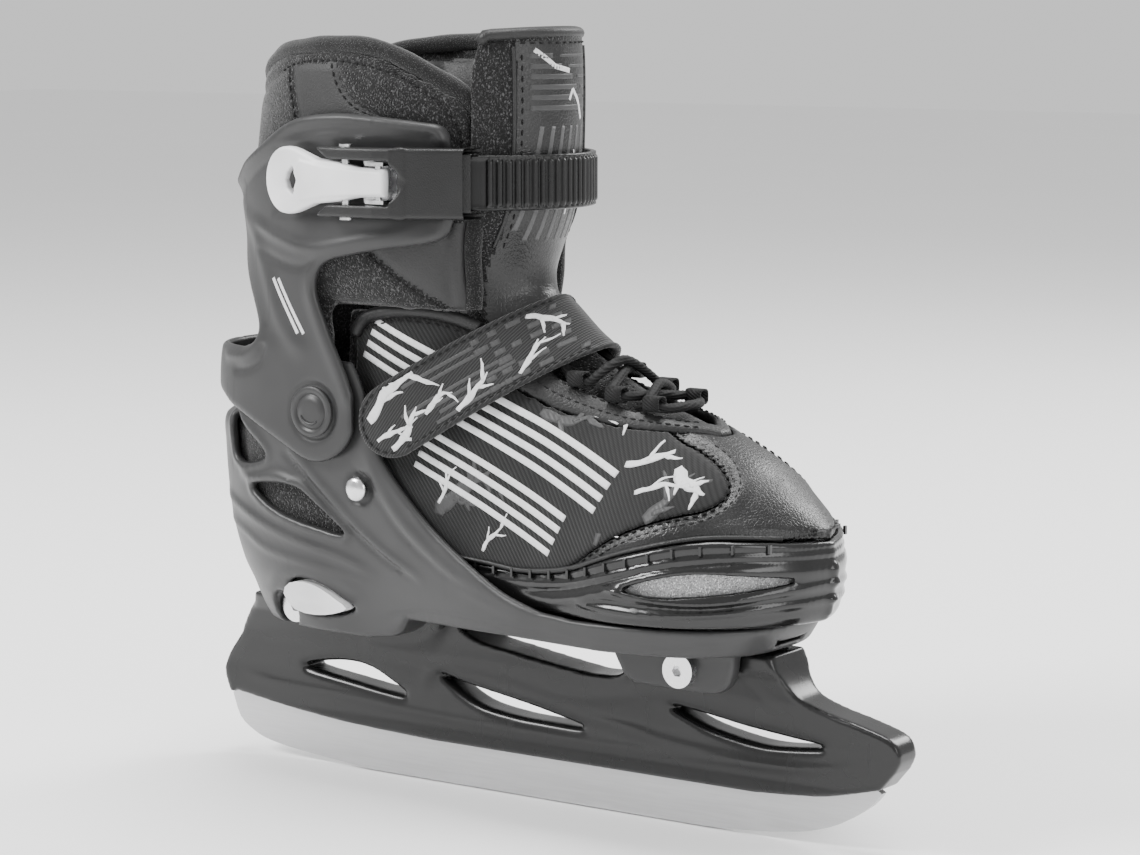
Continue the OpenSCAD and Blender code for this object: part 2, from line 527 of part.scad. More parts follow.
module buckle_base() color(steel) difference() {
    union() {
        bowed(60, 77, 0.1, 1.3, buckle_z - 6.8, buckle_z + 6.8);
        for (s = [-1, 1]) block([-31, -50.8, buckle_z + s * 6.2 - 0.6], [-23.5, -43.6, buckle_z + s * 6.2 + 0.6]);
    }
    upright(base_pin_at[0], base_pin_at[1], 2.4, buckle_z - 8, buckle_z + 8);
    for (x = base_rivet_x) across([x, buckle_z], 3, -60, -20);
}
module base_rivets() color(steel) for (i = [0, 1]) let (x = base_rivet_x[i], y = i == 0 ? -42.7 : -45.6) {
    across([x, buckle_z], 3, y, y + 5);
    across([x, buckle_z], 4.6, y - 0.9, y);
}
module base_pin() color(steel) upright(base_pin_at[0], base_pin_at[1], 2.4, buckle_z - 6.4, buckle_z + 6.4);

lever_outline = concat(
    [[-23.6, buckle_z - 4.5], [-23.6, buckle_z + 4.5], [-34, buckle_z + 5], [-42, buckle_z + neck_half],
    [-51, buckle_z + neck_half]],
    [for (a = [70:10:290]) [-62.8, buckle_z] + 11.2 * [cos(a), sin(a)]],
    [[-51, buckle_z - neck_half], [-42, buckle_z - neck_half], [-34, buckle_z - 5]]);
thumb_hole = concat([for (a = [110:20:250]) [-60.4, buckle_z] + 4.4 * [cos(a), sin(a)]]);
module buckle_lever() color(white) difference() {
    intersection() {
        side(lever_outline, -56, -40);
        linear_extrude(height = 300) polygon([[-23.6, -50.8], [-27, -51.2], [-34, -51.6], [-50, -53], [-66, -52.6],
            [-74.2, -50], [-74, -48.2], [-62, -48.4], [-52, -47.6], [-23.6, -46.9]]);
    }
    side(thumb_hole, -60, -40);
    upright(base_pin_at[0], base_pin_at[1], 2.4 + 2 * fit, buckle_z - 8, buckle_z + 8);
    upright(frame_pin_at[0], frame_pin_at[1], 2.8, buckle_z - 14, buckle_z + 14);
}
module frame_pin() color(steel) {
    upright(frame_pin_at[0], frame_pin_at[1], 2.8, buckle_z - arm_z[0] - 0.2, buckle_z + arm_z[0] + 0.2);
    for (s = [-1, 1]) translate([frame_pin_at[0], frame_pin_at[1], buckle_z + s * (arm_z[0] + 0.5)])
        cylinder(d = 4.4, h = 0.8, center = true);
}
pawl_at = bow(51.5, 4.7);
pawl_pin_d = 1.2;
module buckle_frame() color(black) difference() {
    union() {
        bowed(39.5, 66, 6.2, 8.8, buckle_z - arm_z[0], buckle_z + arm_z[0]);
        for (s = [-1, 1]) {
            bowed(39.5, 66, 1, 6.4, buckle_z + s * 10.6 - 0.9, buckle_z + s * 10.6 + 0.9);
            linear_extrude(height = arm_z[0] + buckle_z) polygon([[-52.2, -46.9], [-52.2, -51.6], [-50, -52.6],
                [-40, -52.9], [-27, -52.4], [-20.8, -50.6], [-18, -48], [-22, -45.6]]);
        }
    }
    block([-60, -60, -1], [-15, -20, buckle_z - arm_z[0]]);
    block([-60, -60, buckle_z - arm_z[1]], [-21.6, -20, buckle_z + arm_z[1]]);
    upright(frame_pin_at[0], frame_pin_at[1], 2.8 + 2 * fit, buckle_z - 14, buckle_z + 14);
    upright(pawl_at[0], pawl_at[1], pawl_pin_d, buckle_z - 14, buckle_z + 14);
}
module pawl_pin() color(steel) upright(pawl_at[0], pawl_at[1], pawl_pin_d, buckle_z - 11.4, buckle_z + 11.4);
module ratchet_pawl() color(steel) difference() {
    union() {
        upright(pawl_at[0], pawl_at[1], 2.3, buckle_z - 7, buckle_z + 7);
        translate([0, 0, buckle_z - 7]) linear_extrude(height = 14)
            polygon([bow(51.5, 4), bow(51.5, 5.4), bow(46.4, 4), bow(46.6, 3.6)]);
    }
    upright(pawl_at[0], pawl_at[1], pawl_pin_d + 2 * fit, buckle_z - 14, buckle_z + 14);
}

ladder_inner = 55;      // angle where the ladder ends under the frame
ladder_outer = -64;     // angle of its screwed end on the far side
module ladder_strap() color(black) difference() {
    union() {
        bowed(ladder_outer, ladder_inner, 0.9, 2.3, buckle_z - ladder_w / 2, buckle_z + ladder_w / 2, 40);
        for (i = [0:ladder_ribs - 1]) let (t = 38 - i * 80 / ladder_ribs)
            bowed(t - 1.1, t + 1.1, 2.2, 3.3, buckle_z - ladder_w / 2 + 1.6, buckle_z + ladder_w / 2 - 1.6, 1);
    }
    across([-20, buckle_z], 4, 20, 60);
}
module ladder_screw() color(steel) {
    across([-20, buckle_z], 4, 36.7, 43);
    across([-20, buckle_z], 8, 43, 45);
}

// ---------------------------------------------------------------- instep strap

strap_dir = unit([0.84, 0.55]);   // way the strap runs up the side, seen from the side
strap_mid = [-29, 131];
strap_half = 12.5;
strap_lift = 2.2;                 // clear height over the crown of the upper
strap_wide = [[-50, 41], [-36, 40.4], [-24, 39.2], [-10, 37.8], [5, 38.2], [20, 40.2], [38, 42.8], [50, 44]];
strap_x = [-50, -42, -34, -26, -18, -10, -2, 6, 14, 22, 30, 38, 46];
function strap_ring(x, off, n = 20) =
    let (w = key(strap_wide, x) + off, h = key(dome_top, x) + strap_lift + off - 82, p = 2 / key(dome_power, x))
    [for (i = [0:n]) let (a = 180 * i / n, c = cos(a))
        [x, w * sign(c) * pow(abs(c), p), 82 + h * pow(max(sin(a), 0), p)]];
function along(s, w) = strap_mid + s * strap_dir + w * [-strap_dir[1], strap_dir[0]];
strap_near = concat([for (a = [100:20:260]) along(0, 0) + strap_half * [strap_dir[0] * cos(a) - strap_dir[1] * sin(a),
    strap_dir[1] * cos(a) + strap_dir[0] * sin(a)]], [along(95, -strap_half), along(95, strap_half)]);
strap_far = [along(24, -strap_half), along(95, -strap_half), along(95, strap_half), along(24, strap_half)];
module instep_strap() color(dark) difference() {
    intersection() {
        difference() {
            loft([for (x = strap_x) strap_ring(x, strap_t)]);
            translate([0, 0, -0.1]) loft([for (x = concat([-52], strap_x, [48])) strap_ring(x, 0)]);
        }
        union() {
            side(strap_near, -60, 0.1);
            side(strap_far, 0, 60);
        }
    }
}

runner_blade();
blade_holder();
front_bolt();
front_nut();
rear_bolt();
rear_nut();
boot_shell();
cuff_pivot_bolts();
cuff_pivot_nuts();
side_rivets();
heel_liner();
footbed();
insole();
button_spring();
push_button();
size_latch();
toe_shell();
size_rack();
rack_screws();
toe_vent_mesh();
toe_cap();
vamp_panel_near();
vamp_panel_far();
eyestay();
throat_mesh();
lace_loops();
lace();
cuff();
liner_cuff();
tongue();
buckle_base();
base_rivets();
base_pin();
buckle_lever();
frame_pin();
buckle_frame();
ratchet_pawl();
pawl_pin();
ladder_strap();
ladder_screw();
instep_strap();
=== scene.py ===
"""Looks of an adjustable ice skate: moulded plastics, printed textile, padded liner and steel.

Lengths inside this file are millimetres in the CAD frame (+X toe, -Y outer side, +Z up) and
turn into metres when a mesh is made. Moulded and sewn pieces are distance fields on a grid,
turned into smooth meshes; trims, stitches and prints are swept along curves on those surfaces.
"""
import math

import bmesh
import bpy
import numpy as np
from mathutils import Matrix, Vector
from mathutils.bvhtree import BVHTree


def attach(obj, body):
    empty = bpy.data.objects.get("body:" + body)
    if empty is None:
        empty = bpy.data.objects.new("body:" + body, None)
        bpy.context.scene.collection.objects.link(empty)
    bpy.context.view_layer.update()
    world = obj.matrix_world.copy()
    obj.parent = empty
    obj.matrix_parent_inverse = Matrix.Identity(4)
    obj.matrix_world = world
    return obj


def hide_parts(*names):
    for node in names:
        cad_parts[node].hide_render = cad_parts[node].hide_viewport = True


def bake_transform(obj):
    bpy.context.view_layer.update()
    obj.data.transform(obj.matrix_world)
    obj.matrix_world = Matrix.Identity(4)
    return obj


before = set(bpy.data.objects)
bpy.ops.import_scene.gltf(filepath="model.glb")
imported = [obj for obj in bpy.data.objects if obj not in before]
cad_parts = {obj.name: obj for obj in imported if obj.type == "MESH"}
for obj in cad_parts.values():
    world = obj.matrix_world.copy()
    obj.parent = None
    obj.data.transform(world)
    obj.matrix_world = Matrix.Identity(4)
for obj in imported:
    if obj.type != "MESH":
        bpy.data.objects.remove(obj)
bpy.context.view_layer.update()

MM = 0.001
SEED = 7

# ------------------------------------------------------------------ curves, as in the CAD source


def key(table, x):
    """Smooth curve through the [position, value] keys of a table."""
    t = np.array(table, float)
    x = np.asarray(x, float)
    last = len(t) - 1
    low = np.maximum(np.arange(last + 1) - 1, 0)
    high = np.minimum(np.arange(last + 1) + 1, last)
    grade = (t[high, 1] - t[low, 1]) / (t[high, 0] - t[low, 0])
    i = np.clip(np.searchsorted(t[:, 0], x, side="right") - 1, 0, last - 1)
    h = t[i + 1, 0] - t[i, 0]
    s = np.clip((x - t[i, 0]) / h, 0, 1)
    return ((2 * s**3 - 3 * s**2 + 1) * t[i, 1] + (s**3 - 2 * s**2 + s) * grade[i] * h
            + (3 * s**2 - 2 * s**3) * t[i + 1, 1] + (s**3 - s**2) * grade[i + 1] * h)


def mix(a, b, s):
    return a + (b - a) * s


def step01(s):
    c = np.clip(s, 0, 1)
    return c * c * (3 - 2 * c)


def spline(points, n=6, closed=False):
    """Catmull-Rom curve through points, with n steps to each stretch."""
    p = np.array(points, float)
    m = len(p)
    out = []
    for i in range(m if closed else m - 1):
        around = [(i - 1) % m, i, (i + 1) % m, (i + 2) % m] if closed else [
            max(i - 1, 0), i, i + 1, min(i + 2, m - 1)]
        a, b, c, d = p[around]
        t = (np.arange(n) / n)[:, None]
        out.append(0.5 * (2 * b + (c - a) * t + (2 * a - 5 * b + 4 * c - d) * t**2
                          + (3 * b - a - 3 * c + d) * t**3))
    if not closed:
        out.append(p[-1:])
    return np.vstack(out)


def resample(points, pitch):
    """The same open curve with evenly spaced points."""
    p = np.array(points, float)
    length = np.concatenate([[0], np.cumsum(np.linalg.norm(np.diff(p, axis=0), axis=1))])
    at = np.linspace(0, length[-1], max(int(round(length[-1] / pitch)), 1) + 1)
    return np.stack([np.interp(at, length, p[:, k]) for k in range(p.shape[1])], 1)


# ------------------------------------------------------------------ distance fields and meshes


class Grid:
    """Evenly spaced points between two corners; x, y and z broadcast against each other."""

    def __init__(self, low, high, step):
        self.low, self.step = np.array(low, float), step
        ax = [np.arange(a, b + step, step) for a, b in zip(low, high)]
        self.x = ax[0][:, None, None]
        self.y = ax[1][None, :, None]
        self.z = ax[2][None, None, :]
        self.shape = tuple(len(a) for a in ax)

    def distance(self, implicit):
        """A distance from any smooth implicit function, good near its surface."""
        f = np.broadcast_to(implicit, self.shape)
        gx, gy, gz = np.gradient(f, self.step)
        return f / np.sqrt(gx * gx + gy * gy + gz * gz + 1e-9)


def smax(a, b, r):
    """Intersection of two solids, with its edge rounded to about r."""
    h = np.maximum(r - np.abs(a - b), 0) / r
    return np.maximum(a, b) + h * h * r / 4


def smin(a, b, r):
    return -smax(-a, -b, r)


def polygon(points, u, v):
    """Distance to a closed outline, below zero inside it."""
    p = np.array(points, float)
    best, inside = 1e9, False
    for (au, av), (bu, bv) in zip(p, np.roll(p, -1, 0)):
        eu, ev = bu - au, bv - av
        wu, wv = u - au, v - av
        t = np.clip((wu * eu + wv * ev) / (eu * eu + ev * ev + 1e-12), 0, 1)
        best = np.minimum(best, (wu - eu * t) ** 2 + (wv - ev * t) ** 2)
        across = ((av > v) != (bv > v)) & (u < eu * (v - av) / (ev + 1e-12 * (ev == 0)) + au)
        inside = inside ^ across
    return np.where(inside, -1, 1) * np.sqrt(best)


def polyline(points, u, v):
    """Distance to an open curve, and how far along it from 0 to 1 the nearest place is."""
    p = np.array(points, float)
    best, along = 1e9, 0.0
    for i, ((au, av), (bu, bv)) in enumerate(zip(p[:-1], p[1:])):
        eu, ev = bu - au, bv - av
        wu, wv = u - au, v - av
        t = np.clip((wu * eu + wv * ev) / (eu * eu + ev * ev + 1e-12), 0, 1)
        d = (wu - eu * t) ** 2 + (wv - ev * t) ** 2
        along = np.where(d < best, (i + t) / (len(p) - 1), along)
        best = np.minimum(best, d)
    return np.sqrt(best), along


def crease(grid, points, width, height):
    """Ridge, or groove where height is below zero, along a curve seen from the side."""
    d, along = polyline(spline(points, 5), grid.x, grid.z)
    fade = step01(along / 0.15) * step01((1 - along) / 0.15)
    return height * fade * np.exp(-((d / width) ** 2))


def hole(grid, at, d):
    return np.sqrt((grid.x - at[0]) ** 2 + (grid.z - at[1]) ** 2) - d / 2


CORNERS = np.array([(i, j, k) for i in (0, 1) for j in (0, 1) for k in (0, 1)])
EDGES = [(a, b) for a in range(8) for b in range(a + 1, 8)
         if np.abs(CORNERS[a] - CORNERS[b]).sum() == 1]


def sampled(field, at):
    """Field values at places given in grid steps."""
    i = np.clip(np.floor(at).astype(int), 0, np.array(field.shape) - 2)
    t = at - i
    total = 0
    for c in CORNERS:
        j = i + c
        w = np.prod(np.where(c, t, 1 - t), axis=1)
        total = total + w * field[j[:, 0], j[:, 1], j[:, 2]]
    return total


def net(grid, field):
    """Vertices and quads of the surface where field is zero (surface nets)."""
    field = np.ascontiguousarray(np.broadcast_to(field, grid.shape), float)
    solid = field < 0
    count = sum(solid[c[0]:solid.shape[0] - 1 + c[0], c[1]:solid.shape[1] - 1 + c[1],
                      c[2]:solid.shape[2] - 1 + c[2]].astype(np.int8) for c in CORNERS)
    active = (count > 0) & (count < 8)
    cells = np.argwhere(active)
    index = np.full(active.shape, -1)
    index[active] = np.arange(len(cells))
    value = [field[tuple((cells + c).T)] for c in CORNERS]
    total, hits = np.zeros((len(cells), 3)), np.zeros(len(cells))
    for a, b in EDGES:
        cross = (value[a] < 0) != (value[b] < 0)
        t = value[a] / np.where(cross, value[a] - value[b], 1)
        total[cross] += (CORNERS[a] + t[:, None] * (CORNERS[b] - CORNERS[a]))[cross]
        hits += cross
    at = cells + total / hits[:, None]
    for _ in range(2):  # settle on the surface
        slope = np.stack([sampled(field, at + e) - sampled(field, at - e)
                          for e in 0.5 * np.eye(3)], 1)
        size = (slope**2).sum(1) + 1e-9
        move = -slope * (sampled(field, at) / size)[:, None]
        at += np.clip(move, -0.4, 0.4)
    faces = []
    for axis in range(3):
        o1, o2 = [np.eye(3, dtype=int)[k] for k in range(3) if k != axis]
        e = np.eye(3, dtype=int)[axis]
        here = solid[:solid.shape[0] - e[0], :solid.shape[1] - e[1], :solid.shape[2] - e[2]]
        there = solid[e[0]:, e[1]:, e[2]:]
        g = np.argwhere(here != there)
        g = g[(g[:, [k for k in range(3) if k != axis]] > 0).all(1)]
        g = g[((g - 0) < np.array(index.shape)).all(1)]
        out = here[tuple(g.T)]
        quad = np.stack([index[tuple((g - o1 - o2).T)], index[tuple((g - o2).T)],
                         index[tuple(g.T)], index[tuple((g - o1).T)]], 1)
        flip = out if axis != 1 else ~out
        quad[~flip] = quad[~flip][:, ::-1]
        faces.append(quad)
    return (grid.low + at * grid.step), np.vstack(faces)


def piece(name, verts, faces, body=None, material=None, replaces=(), smooth=True, outward=True):
    """A Blender mesh from millimetre vertices, riding on a body."""
    mesh = bpy.data.meshes.new(name)
    mesh.from_pydata((np.asarray(verts) * MM).tolist(), [], [list(map(int, f)) for f in faces])
    mesh.validate()
    if outward:
        face_outward(mesh)
    obj = bpy.data.objects.new(name, mesh)
    bpy.context.scene.collection.objects.link(obj)
    if smooth:
        mesh.shade_smooth()
    if material:
        mesh.materials.append(material)
    if body:
        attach(obj, body)
    if replaces:
        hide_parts(*replaces)
    return obj


def face_outward(mesh):
    bm = bmesh.new()
    bm.from_mesh(mesh)
    bmesh.ops.recalc_face_normals(bm, faces=bm.faces)
    bm.to_mesh(mesh)
    bm.free()


def moulded(name, grid, field, body, material, replaces=(), smooth_steps=0):
    verts, faces = net(grid, field)
    obj = piece(name, verts, faces, None, material, outward=False)
    if smooth_steps:
        relax = obj.modifiers.new("relax", "SMOOTH")
        relax.factor, relax.iterations = 0.5, smooth_steps
        apply_modifiers(obj)
    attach(obj, body)
    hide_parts(*replaces)
    return obj


def apply_modifiers(obj):
    """Bakes an object's modifiers into its mesh."""
    bpy.context.view_layer.update()
    made = obj.evaluated_get(bpy.context.evaluated_depsgraph_get())
    mesh = bpy.data.meshes.new_from_object(made)
    obj.modifiers.clear()
    obj.data = mesh


# ------------------------------------------------------------------ materials

WHITE = (0.83, 0.83, 0.83)


class Nodes:
    """A short way to write one material's node tree."""

    def __init__(self, name, rough, metallic=0.0, specular=0.5, coat=0.0):
        self.mat = bpy.data.materials.new(name)
        self.mat.use_nodes = True
        self.tree = self.mat.node_tree
        self.shader = self.tree.nodes["Principled BSDF"]
        self.shader.inputs["Roughness"].default_value = rough
        self.shader.inputs["Metallic"].default_value = metallic
        self.shader.inputs["Specular IOR Level"].default_value = specular
        self.shader.inputs["Coat Weight"].default_value = coat
        self.shader.inputs["Coat Roughness"].default_value = 0.12
        self.place = self.tree.nodes.new("ShaderNodeTexCoord").outputs["Object"]

    def link(self, a, b):
        self.tree.links.new(a, b)

    def add(self, kind, **values):
        node = self.tree.nodes.new(kind)
        for k, v in values.items():
            setattr(node, k, v)
        return node

    def noise(self, scale, detail=3.0, stretch=(1, 1, 1)):
        move = self.add("ShaderNodeMapping")
        move.inputs["Scale"].default_value = stretch
        self.link(self.place, move.inputs["Vector"])
        node = self.add("ShaderNodeTexNoise")
        node.inputs["Scale"].default_value = scale
        node.inputs["Detail"].default_value = detail
        self.link(move.outputs["Vector"], node.inputs["Vector"])
        return node.outputs["Fac"]

    def cells(self, scale, feature="F1", stretch=(1, 1, 1)):
        move = self.add("ShaderNodeMapping")
        move.inputs["Scale"].default_value = stretch
        self.link(self.place, move.inputs["Vector"])
        node = self.add("ShaderNodeTexVoronoi", feature=feature)
        node.inputs["Scale"].default_value = scale
        self.link(move.outputs["Vector"], node.inputs["Vector"])
        return node.outputs["Distance"]

    def ribs(self, pitch_mm, turn=(0, 0, 0), axis="X"):
        """Parallel rounded ribs of that pitch, across an axis of the turned frame."""
        move = self.add("ShaderNodeMapping")
        move.inputs["Rotation"].default_value = turn
        self.link(self.place, move.inputs["Vector"])
        node = self.add("ShaderNodeTexWave", bands_direction=axis)
        node.inputs["Scale"].default_value = 1 / (pitch_mm * MM) * math.pi / 10 / 1.0
        node.inputs["Distortion"].default_value = 0.0
        self.link(move.outputs["Vector"], node.inputs["Vector"])
        return node.outputs["Fac"]

    def math(self, operation, a, b=0.0, c=None):
        node = self.add("ShaderNodeMath", operation=operation)
        for i, v in enumerate((a, b, c)):
            if isinstance(v, (int, float)):
                node.inputs[i].default_value = v
            elif v is not None:
                self.link(v, node.inputs[i])
        return node.outputs[0]

    def ramp(self, value, low, high, a, b):
        """Value from low to high becomes a number from a to b."""
        node = self.add("ShaderNodeMapRange", interpolation_type="SMOOTHSTEP")
        node.inputs["From Min"].default_value = low
        node.inputs["From Max"].default_value = high
        node.inputs["To Min"].default_value = a
        node.inputs["To Max"].default_value = b
        self.link(value, node.inputs["Value"])
        return node.outputs["Result"]

    def blend(self, share, a, b):
        node = self.add("ShaderNodeMix", data_type="RGBA")
        self.link(share, node.inputs["Factor"])
        for socket, v in ((node.inputs[6], a), (node.inputs[7], b)):
            if isinstance(v, (tuple, list)):
                socket.default_value = (*v, 1)
            else:
                self.link(v, socket)
        return node.outputs[2]

    def colour(self, value):
        self.link(value, self.shader.inputs["Base Color"])

    def rough(self, value):
        self.link(value, self.shader.inputs["Roughness"])

    def bump(self, height, depth_mm, strength=1.0):
        node = self.add("ShaderNodeBump")
        node.inputs["Strength"].default_value = strength
        node.inputs["Distance"].default_value = depth_mm * MM
        self.link(height, node.inputs["Height"])
        if self.shader.inputs["Normal"].is_linked:
            self.link(self.shader.inputs["Normal"].links[0].from_socket, node.inputs["Normal"])
        self.link(node.outputs["Normal"], self.shader.inputs["Normal"])


def grey(v):
    return (v, v, v * 1.01)


def moulded_plastic(name, tone, rough, grain=0.02, coat=0.0, scuffs=0.08):
    """Injection moulding: fine grain, slow gloss changes, and faint scuffs."""
    n = Nodes(name, rough, specular=0.36, coat=coat)
    slow = n.noise(38, 2)
    scratch = n.ramp(n.noise(260, 4, (1, 1, 0.12)), 0.62, 0.72, 0, 1)
    n.colour(n.blend(n.ramp(slow, 0.3, 0.7, 0, 1), grey(tone * 0.88), grey(tone * 1.1)))
    n.rough(n.math("ADD", n.ramp(slow, 0.3, 0.7, rough - 0.04, rough + 0.05),
                   n.math("MULTIPLY", scratch, scuffs)))
    n.bump(n.noise(2600, 2), grain)
    return n.mat


def steel(name, tone, rough, brushed=(1, 1, 18)):
    n = Nodes(name, rough, metallic=1.0)
    lines = n.noise(420, 4, brushed)
    n.colour(n.blend(n.ramp(lines, 0.3, 0.7, 0, 1), grey(tone * 0.9), grey(tone)))
    n.rough(n.ramp(lines, 0.25, 0.75, rough - 0.07, rough + 0.09))
    n.bump(lines, 0.02)
    return n.mat


def leather(name, tone, rough):
    """Coated leather: pebbled grain between fine wrinkles."""
    n = Nodes(name, rough, specular=0.45)
    grain = n.cells(820, "DISTANCE_TO_EDGE")
    slow = n.noise(60, 3)
    n.colour(n.blend(n.ramp(slow, 0.3, 0.75, 0, 1), grey(tone * 0.8), grey(tone * 1.25)))
    n.rough(n.ramp(slow, 0.3, 0.7, rough - 0.05, rough + 0.08))
    n.bump(n.ramp(grain, 0.0, 0.25, 0, 1), 0.05)
    n.bump(n.noise(150, 4, (1, 0.4, 1)), 0.14)
    return n.mat


def glint_painted_mesh(name, tone, glint_tone, scale=620, threads=True):
    """Spacer mesh: raised threads between open cells, with painted glints of light on the threads."""
    n = Nodes(name, 0.88, specular=0.2)
    cell = n.cells(scale, stretch=(1, 1, 1.25))
    shine = n.ramp(n.noise(scale * 2.2, 2, (1, 1, 0.6)), 0.5, 0.74, 0, 1)
    thread = n.ramp(cell, 0.12, 0.42, 0, 1)
    lit = n.math("MULTIPLY", shine, thread)
    # Painted highlight: the lighter tone goes on raised threads where the shine noise is high, standing in for light
    # caught by the fibres.
    n.colour(n.blend(lit, grey(tone), grey(glint_tone)))
    if threads:
        n.bump(thread, 0.35)
    n.bump(n.noise(2400, 2), 0.05)
    n.shader.inputs["Sheen Weight"].default_value = 0.25
    n.shader.inputs["Sheen Roughness"].default_value = 0.5
    return n.mat


def ribbed_textile(name, tone, rib_tone, pitch=1.3, turn=(0, math.radians(38), 0)):
    """Woven panel with slanting ribs and a fine cross weave."""
    n = Nodes(name, 0.8, specular=0.25)
    rib = n.ribs(pitch, turn)
    cross = n.ribs(pitch * 0.42, (0, turn[1] + math.pi / 2, 0))
    body = n.math("ADD", n.math("MULTIPLY", rib, 0.8), n.math("MULTIPLY", cross, 0.2))
    worn = n.math("MULTIPLY", body, n.ramp(n.noise(95, 3), 0.3, 0.7, 0.55, 1))
    n.colour(n.blend(worn, grey(tone), grey(rib_tone)))
    n.bump(body, 0.22)
    n.shader.inputs["Sheen Weight"].default_value = 0.2
    return n.mat


def print_ink(name, tone, rough=0.5):
    """Screen printed ink: slightly uneven, with the weave showing through."""
    n = Nodes(name, rough, specular=0.35)
    uneven = n.noise(420, 4)
    n.colour(n.blend(n.ramp(uneven, 0.35, 0.7, 0, 1), grey(tone * 0.9), grey(tone)))
    n.rough(n.ramp(uneven, 0.3, 0.7, rough - 0.06, rough + 0.1))
    n.bump(n.ribs(1.3, (0, math.radians(38), 0)), 0.06)
    return n.mat


def thread(name, tone):
    """Twisted thread or braided cord."""
    n = Nodes(name, 0.7, specular=0.3)
    twist = n.ribs(0.9, (0.5, 0.9, 0.6))
    n.colour(n.blend(twist, grey(tone * 0.55), grey(tone * 1.3)))
    n.bump(twist, 0.2)
    return n.mat


SHELL = moulded_plastic("shell_plastic", 0.034, 0.38)
CUFF = moulded_plastic("cuff_plastic", 0.032, 0.4)
BUMPER = moulded_plastic("bumper_rubber", 0.006, 0.2, grain=0.01, coat=0.3)
HOLDER = moulded_plastic("holder_plastic", 0.006, 0.27, grain=0.012, coat=0.12)
BUCKLE = moulded_plastic("buckle_plastic", 0.013, 0.34, grain=0.11)
LADDER = moulded_plastic("ladder_plastic", 0.007, 0.3)
HIDDEN = moulded_plastic("inner_plastic", 0.03, 0.5)
LEVER = moulded_plastic("lever_plastic", 0.74, 0.33, grain=0.012)
BUTTON = moulded_plastic("button_plastic", 0.72, 0.36, grain=0.012)
RUNNER = steel("runner_steel", 0.56, 0.42, (0.15, 1, 3))
BRIGHT = steel("bright_steel", 0.78, 0.22, (1, 1, 1))
LEATHER = leather("toe_leather", 0.006, 0.36)
BINDING = leather("binding_leather", 0.009, 0.46)
TEXTILE = ribbed_textile("panel_textile", 0.003, 0.016)
STRAP = ribbed_textile("strap_textile", 0.016, 0.024, 0.9, (0, math.radians(-33), 0))
MESH = glint_painted_mesh("throat_mesh", 0.004, 0.03, 900)
LINER = glint_painted_mesh("liner_mesh", 0.006, 0.085, 900)
LINER_EDGE = glint_painted_mesh("liner_edge", 0.005, 0.03, 1500)
TONGUE_FRONT = leather("tongue_panel", 0.012, 0.34)
LINER_PATCH = leather("liner_patch", 0.018, 0.55)
SILVER = glint_painted_mesh("silver_mesh", 0.3, 0.85, 1300)
LACE = thread("lace_cord", 0.008)
STITCH = thread("stitch_thread", 0.005)
INK_WHITE = print_ink("ink_white", 0.72)
INK_GREY = print_ink("ink_grey", 0.05)
INK_MID = print_ink("ink_mid", 0.085)
FOAM = glint_painted_mesh("foam_top", 0.03, 0.09, 500)

# ------------------------------------------------------------------ sizes shared with the CAD

PIVOT = (-61, 132)
FRONT_HOLE, REAR_HOLE = (71, 55), (-88, 59.3)
RIVET_AT = (-45, 106.6)
DECK_Z, RIM_Z, BUMPER_Z = 68.2, 72.2, 72.8
SHELL_T, CUFF_T, UPPER_T = 3.0, 3.0, 1.8
CUFF_MID = -51
BUCKLE_Z = 210

HEEL_BACK = [[48, -107], [56, -111.5], [66, -115.5], [74, -119.5], [92, -124], [116, -125.5],
             [125, -125], [130, -118.5], [150, -115]]
SOLE_FRONT = [[48, 96], [62, 100], [72, 104.5], [152, 104.5]]
HEEL_HALF = [[48, 24], [56, 27.5], [66, 31], [80, 34.5], [100, 36.8], [118, 38.2], [150, 38.7]]
BALL_HALF = [[48, 35], [62, 39.5], [72, 42.4], [84, 43], [152, 41]]
SEAM = [[-16, 86.5], [8, 85.5], [22, 84.8], [42, 87.5], [64, 95], [86, 100.5], [100, 101], [118, 99]]


def shell_implicit(g):
    """The foot-shaped plan of the boot shell: round heel, round toe."""
    xh, xt = key(HEEL_BACK, g.z), key(SOLE_FRONT, g.z)
    u = (g.x - xh) / (xt - xh)
    half = mix(key(HEEL_HALF, g.z), key(BALL_HALF, g.z), step01((u - 0.3) / 0.35))
    power = mix(2.2, 2.7, step01((u - 0.3) / 0.35))
    end = np.maximum(np.maximum((0.25 - u) / 0.25, 0), np.maximum((u - 0.72) / 0.28, 0))
    return (np.abs(g.y) / half) ** power + end**power - 1


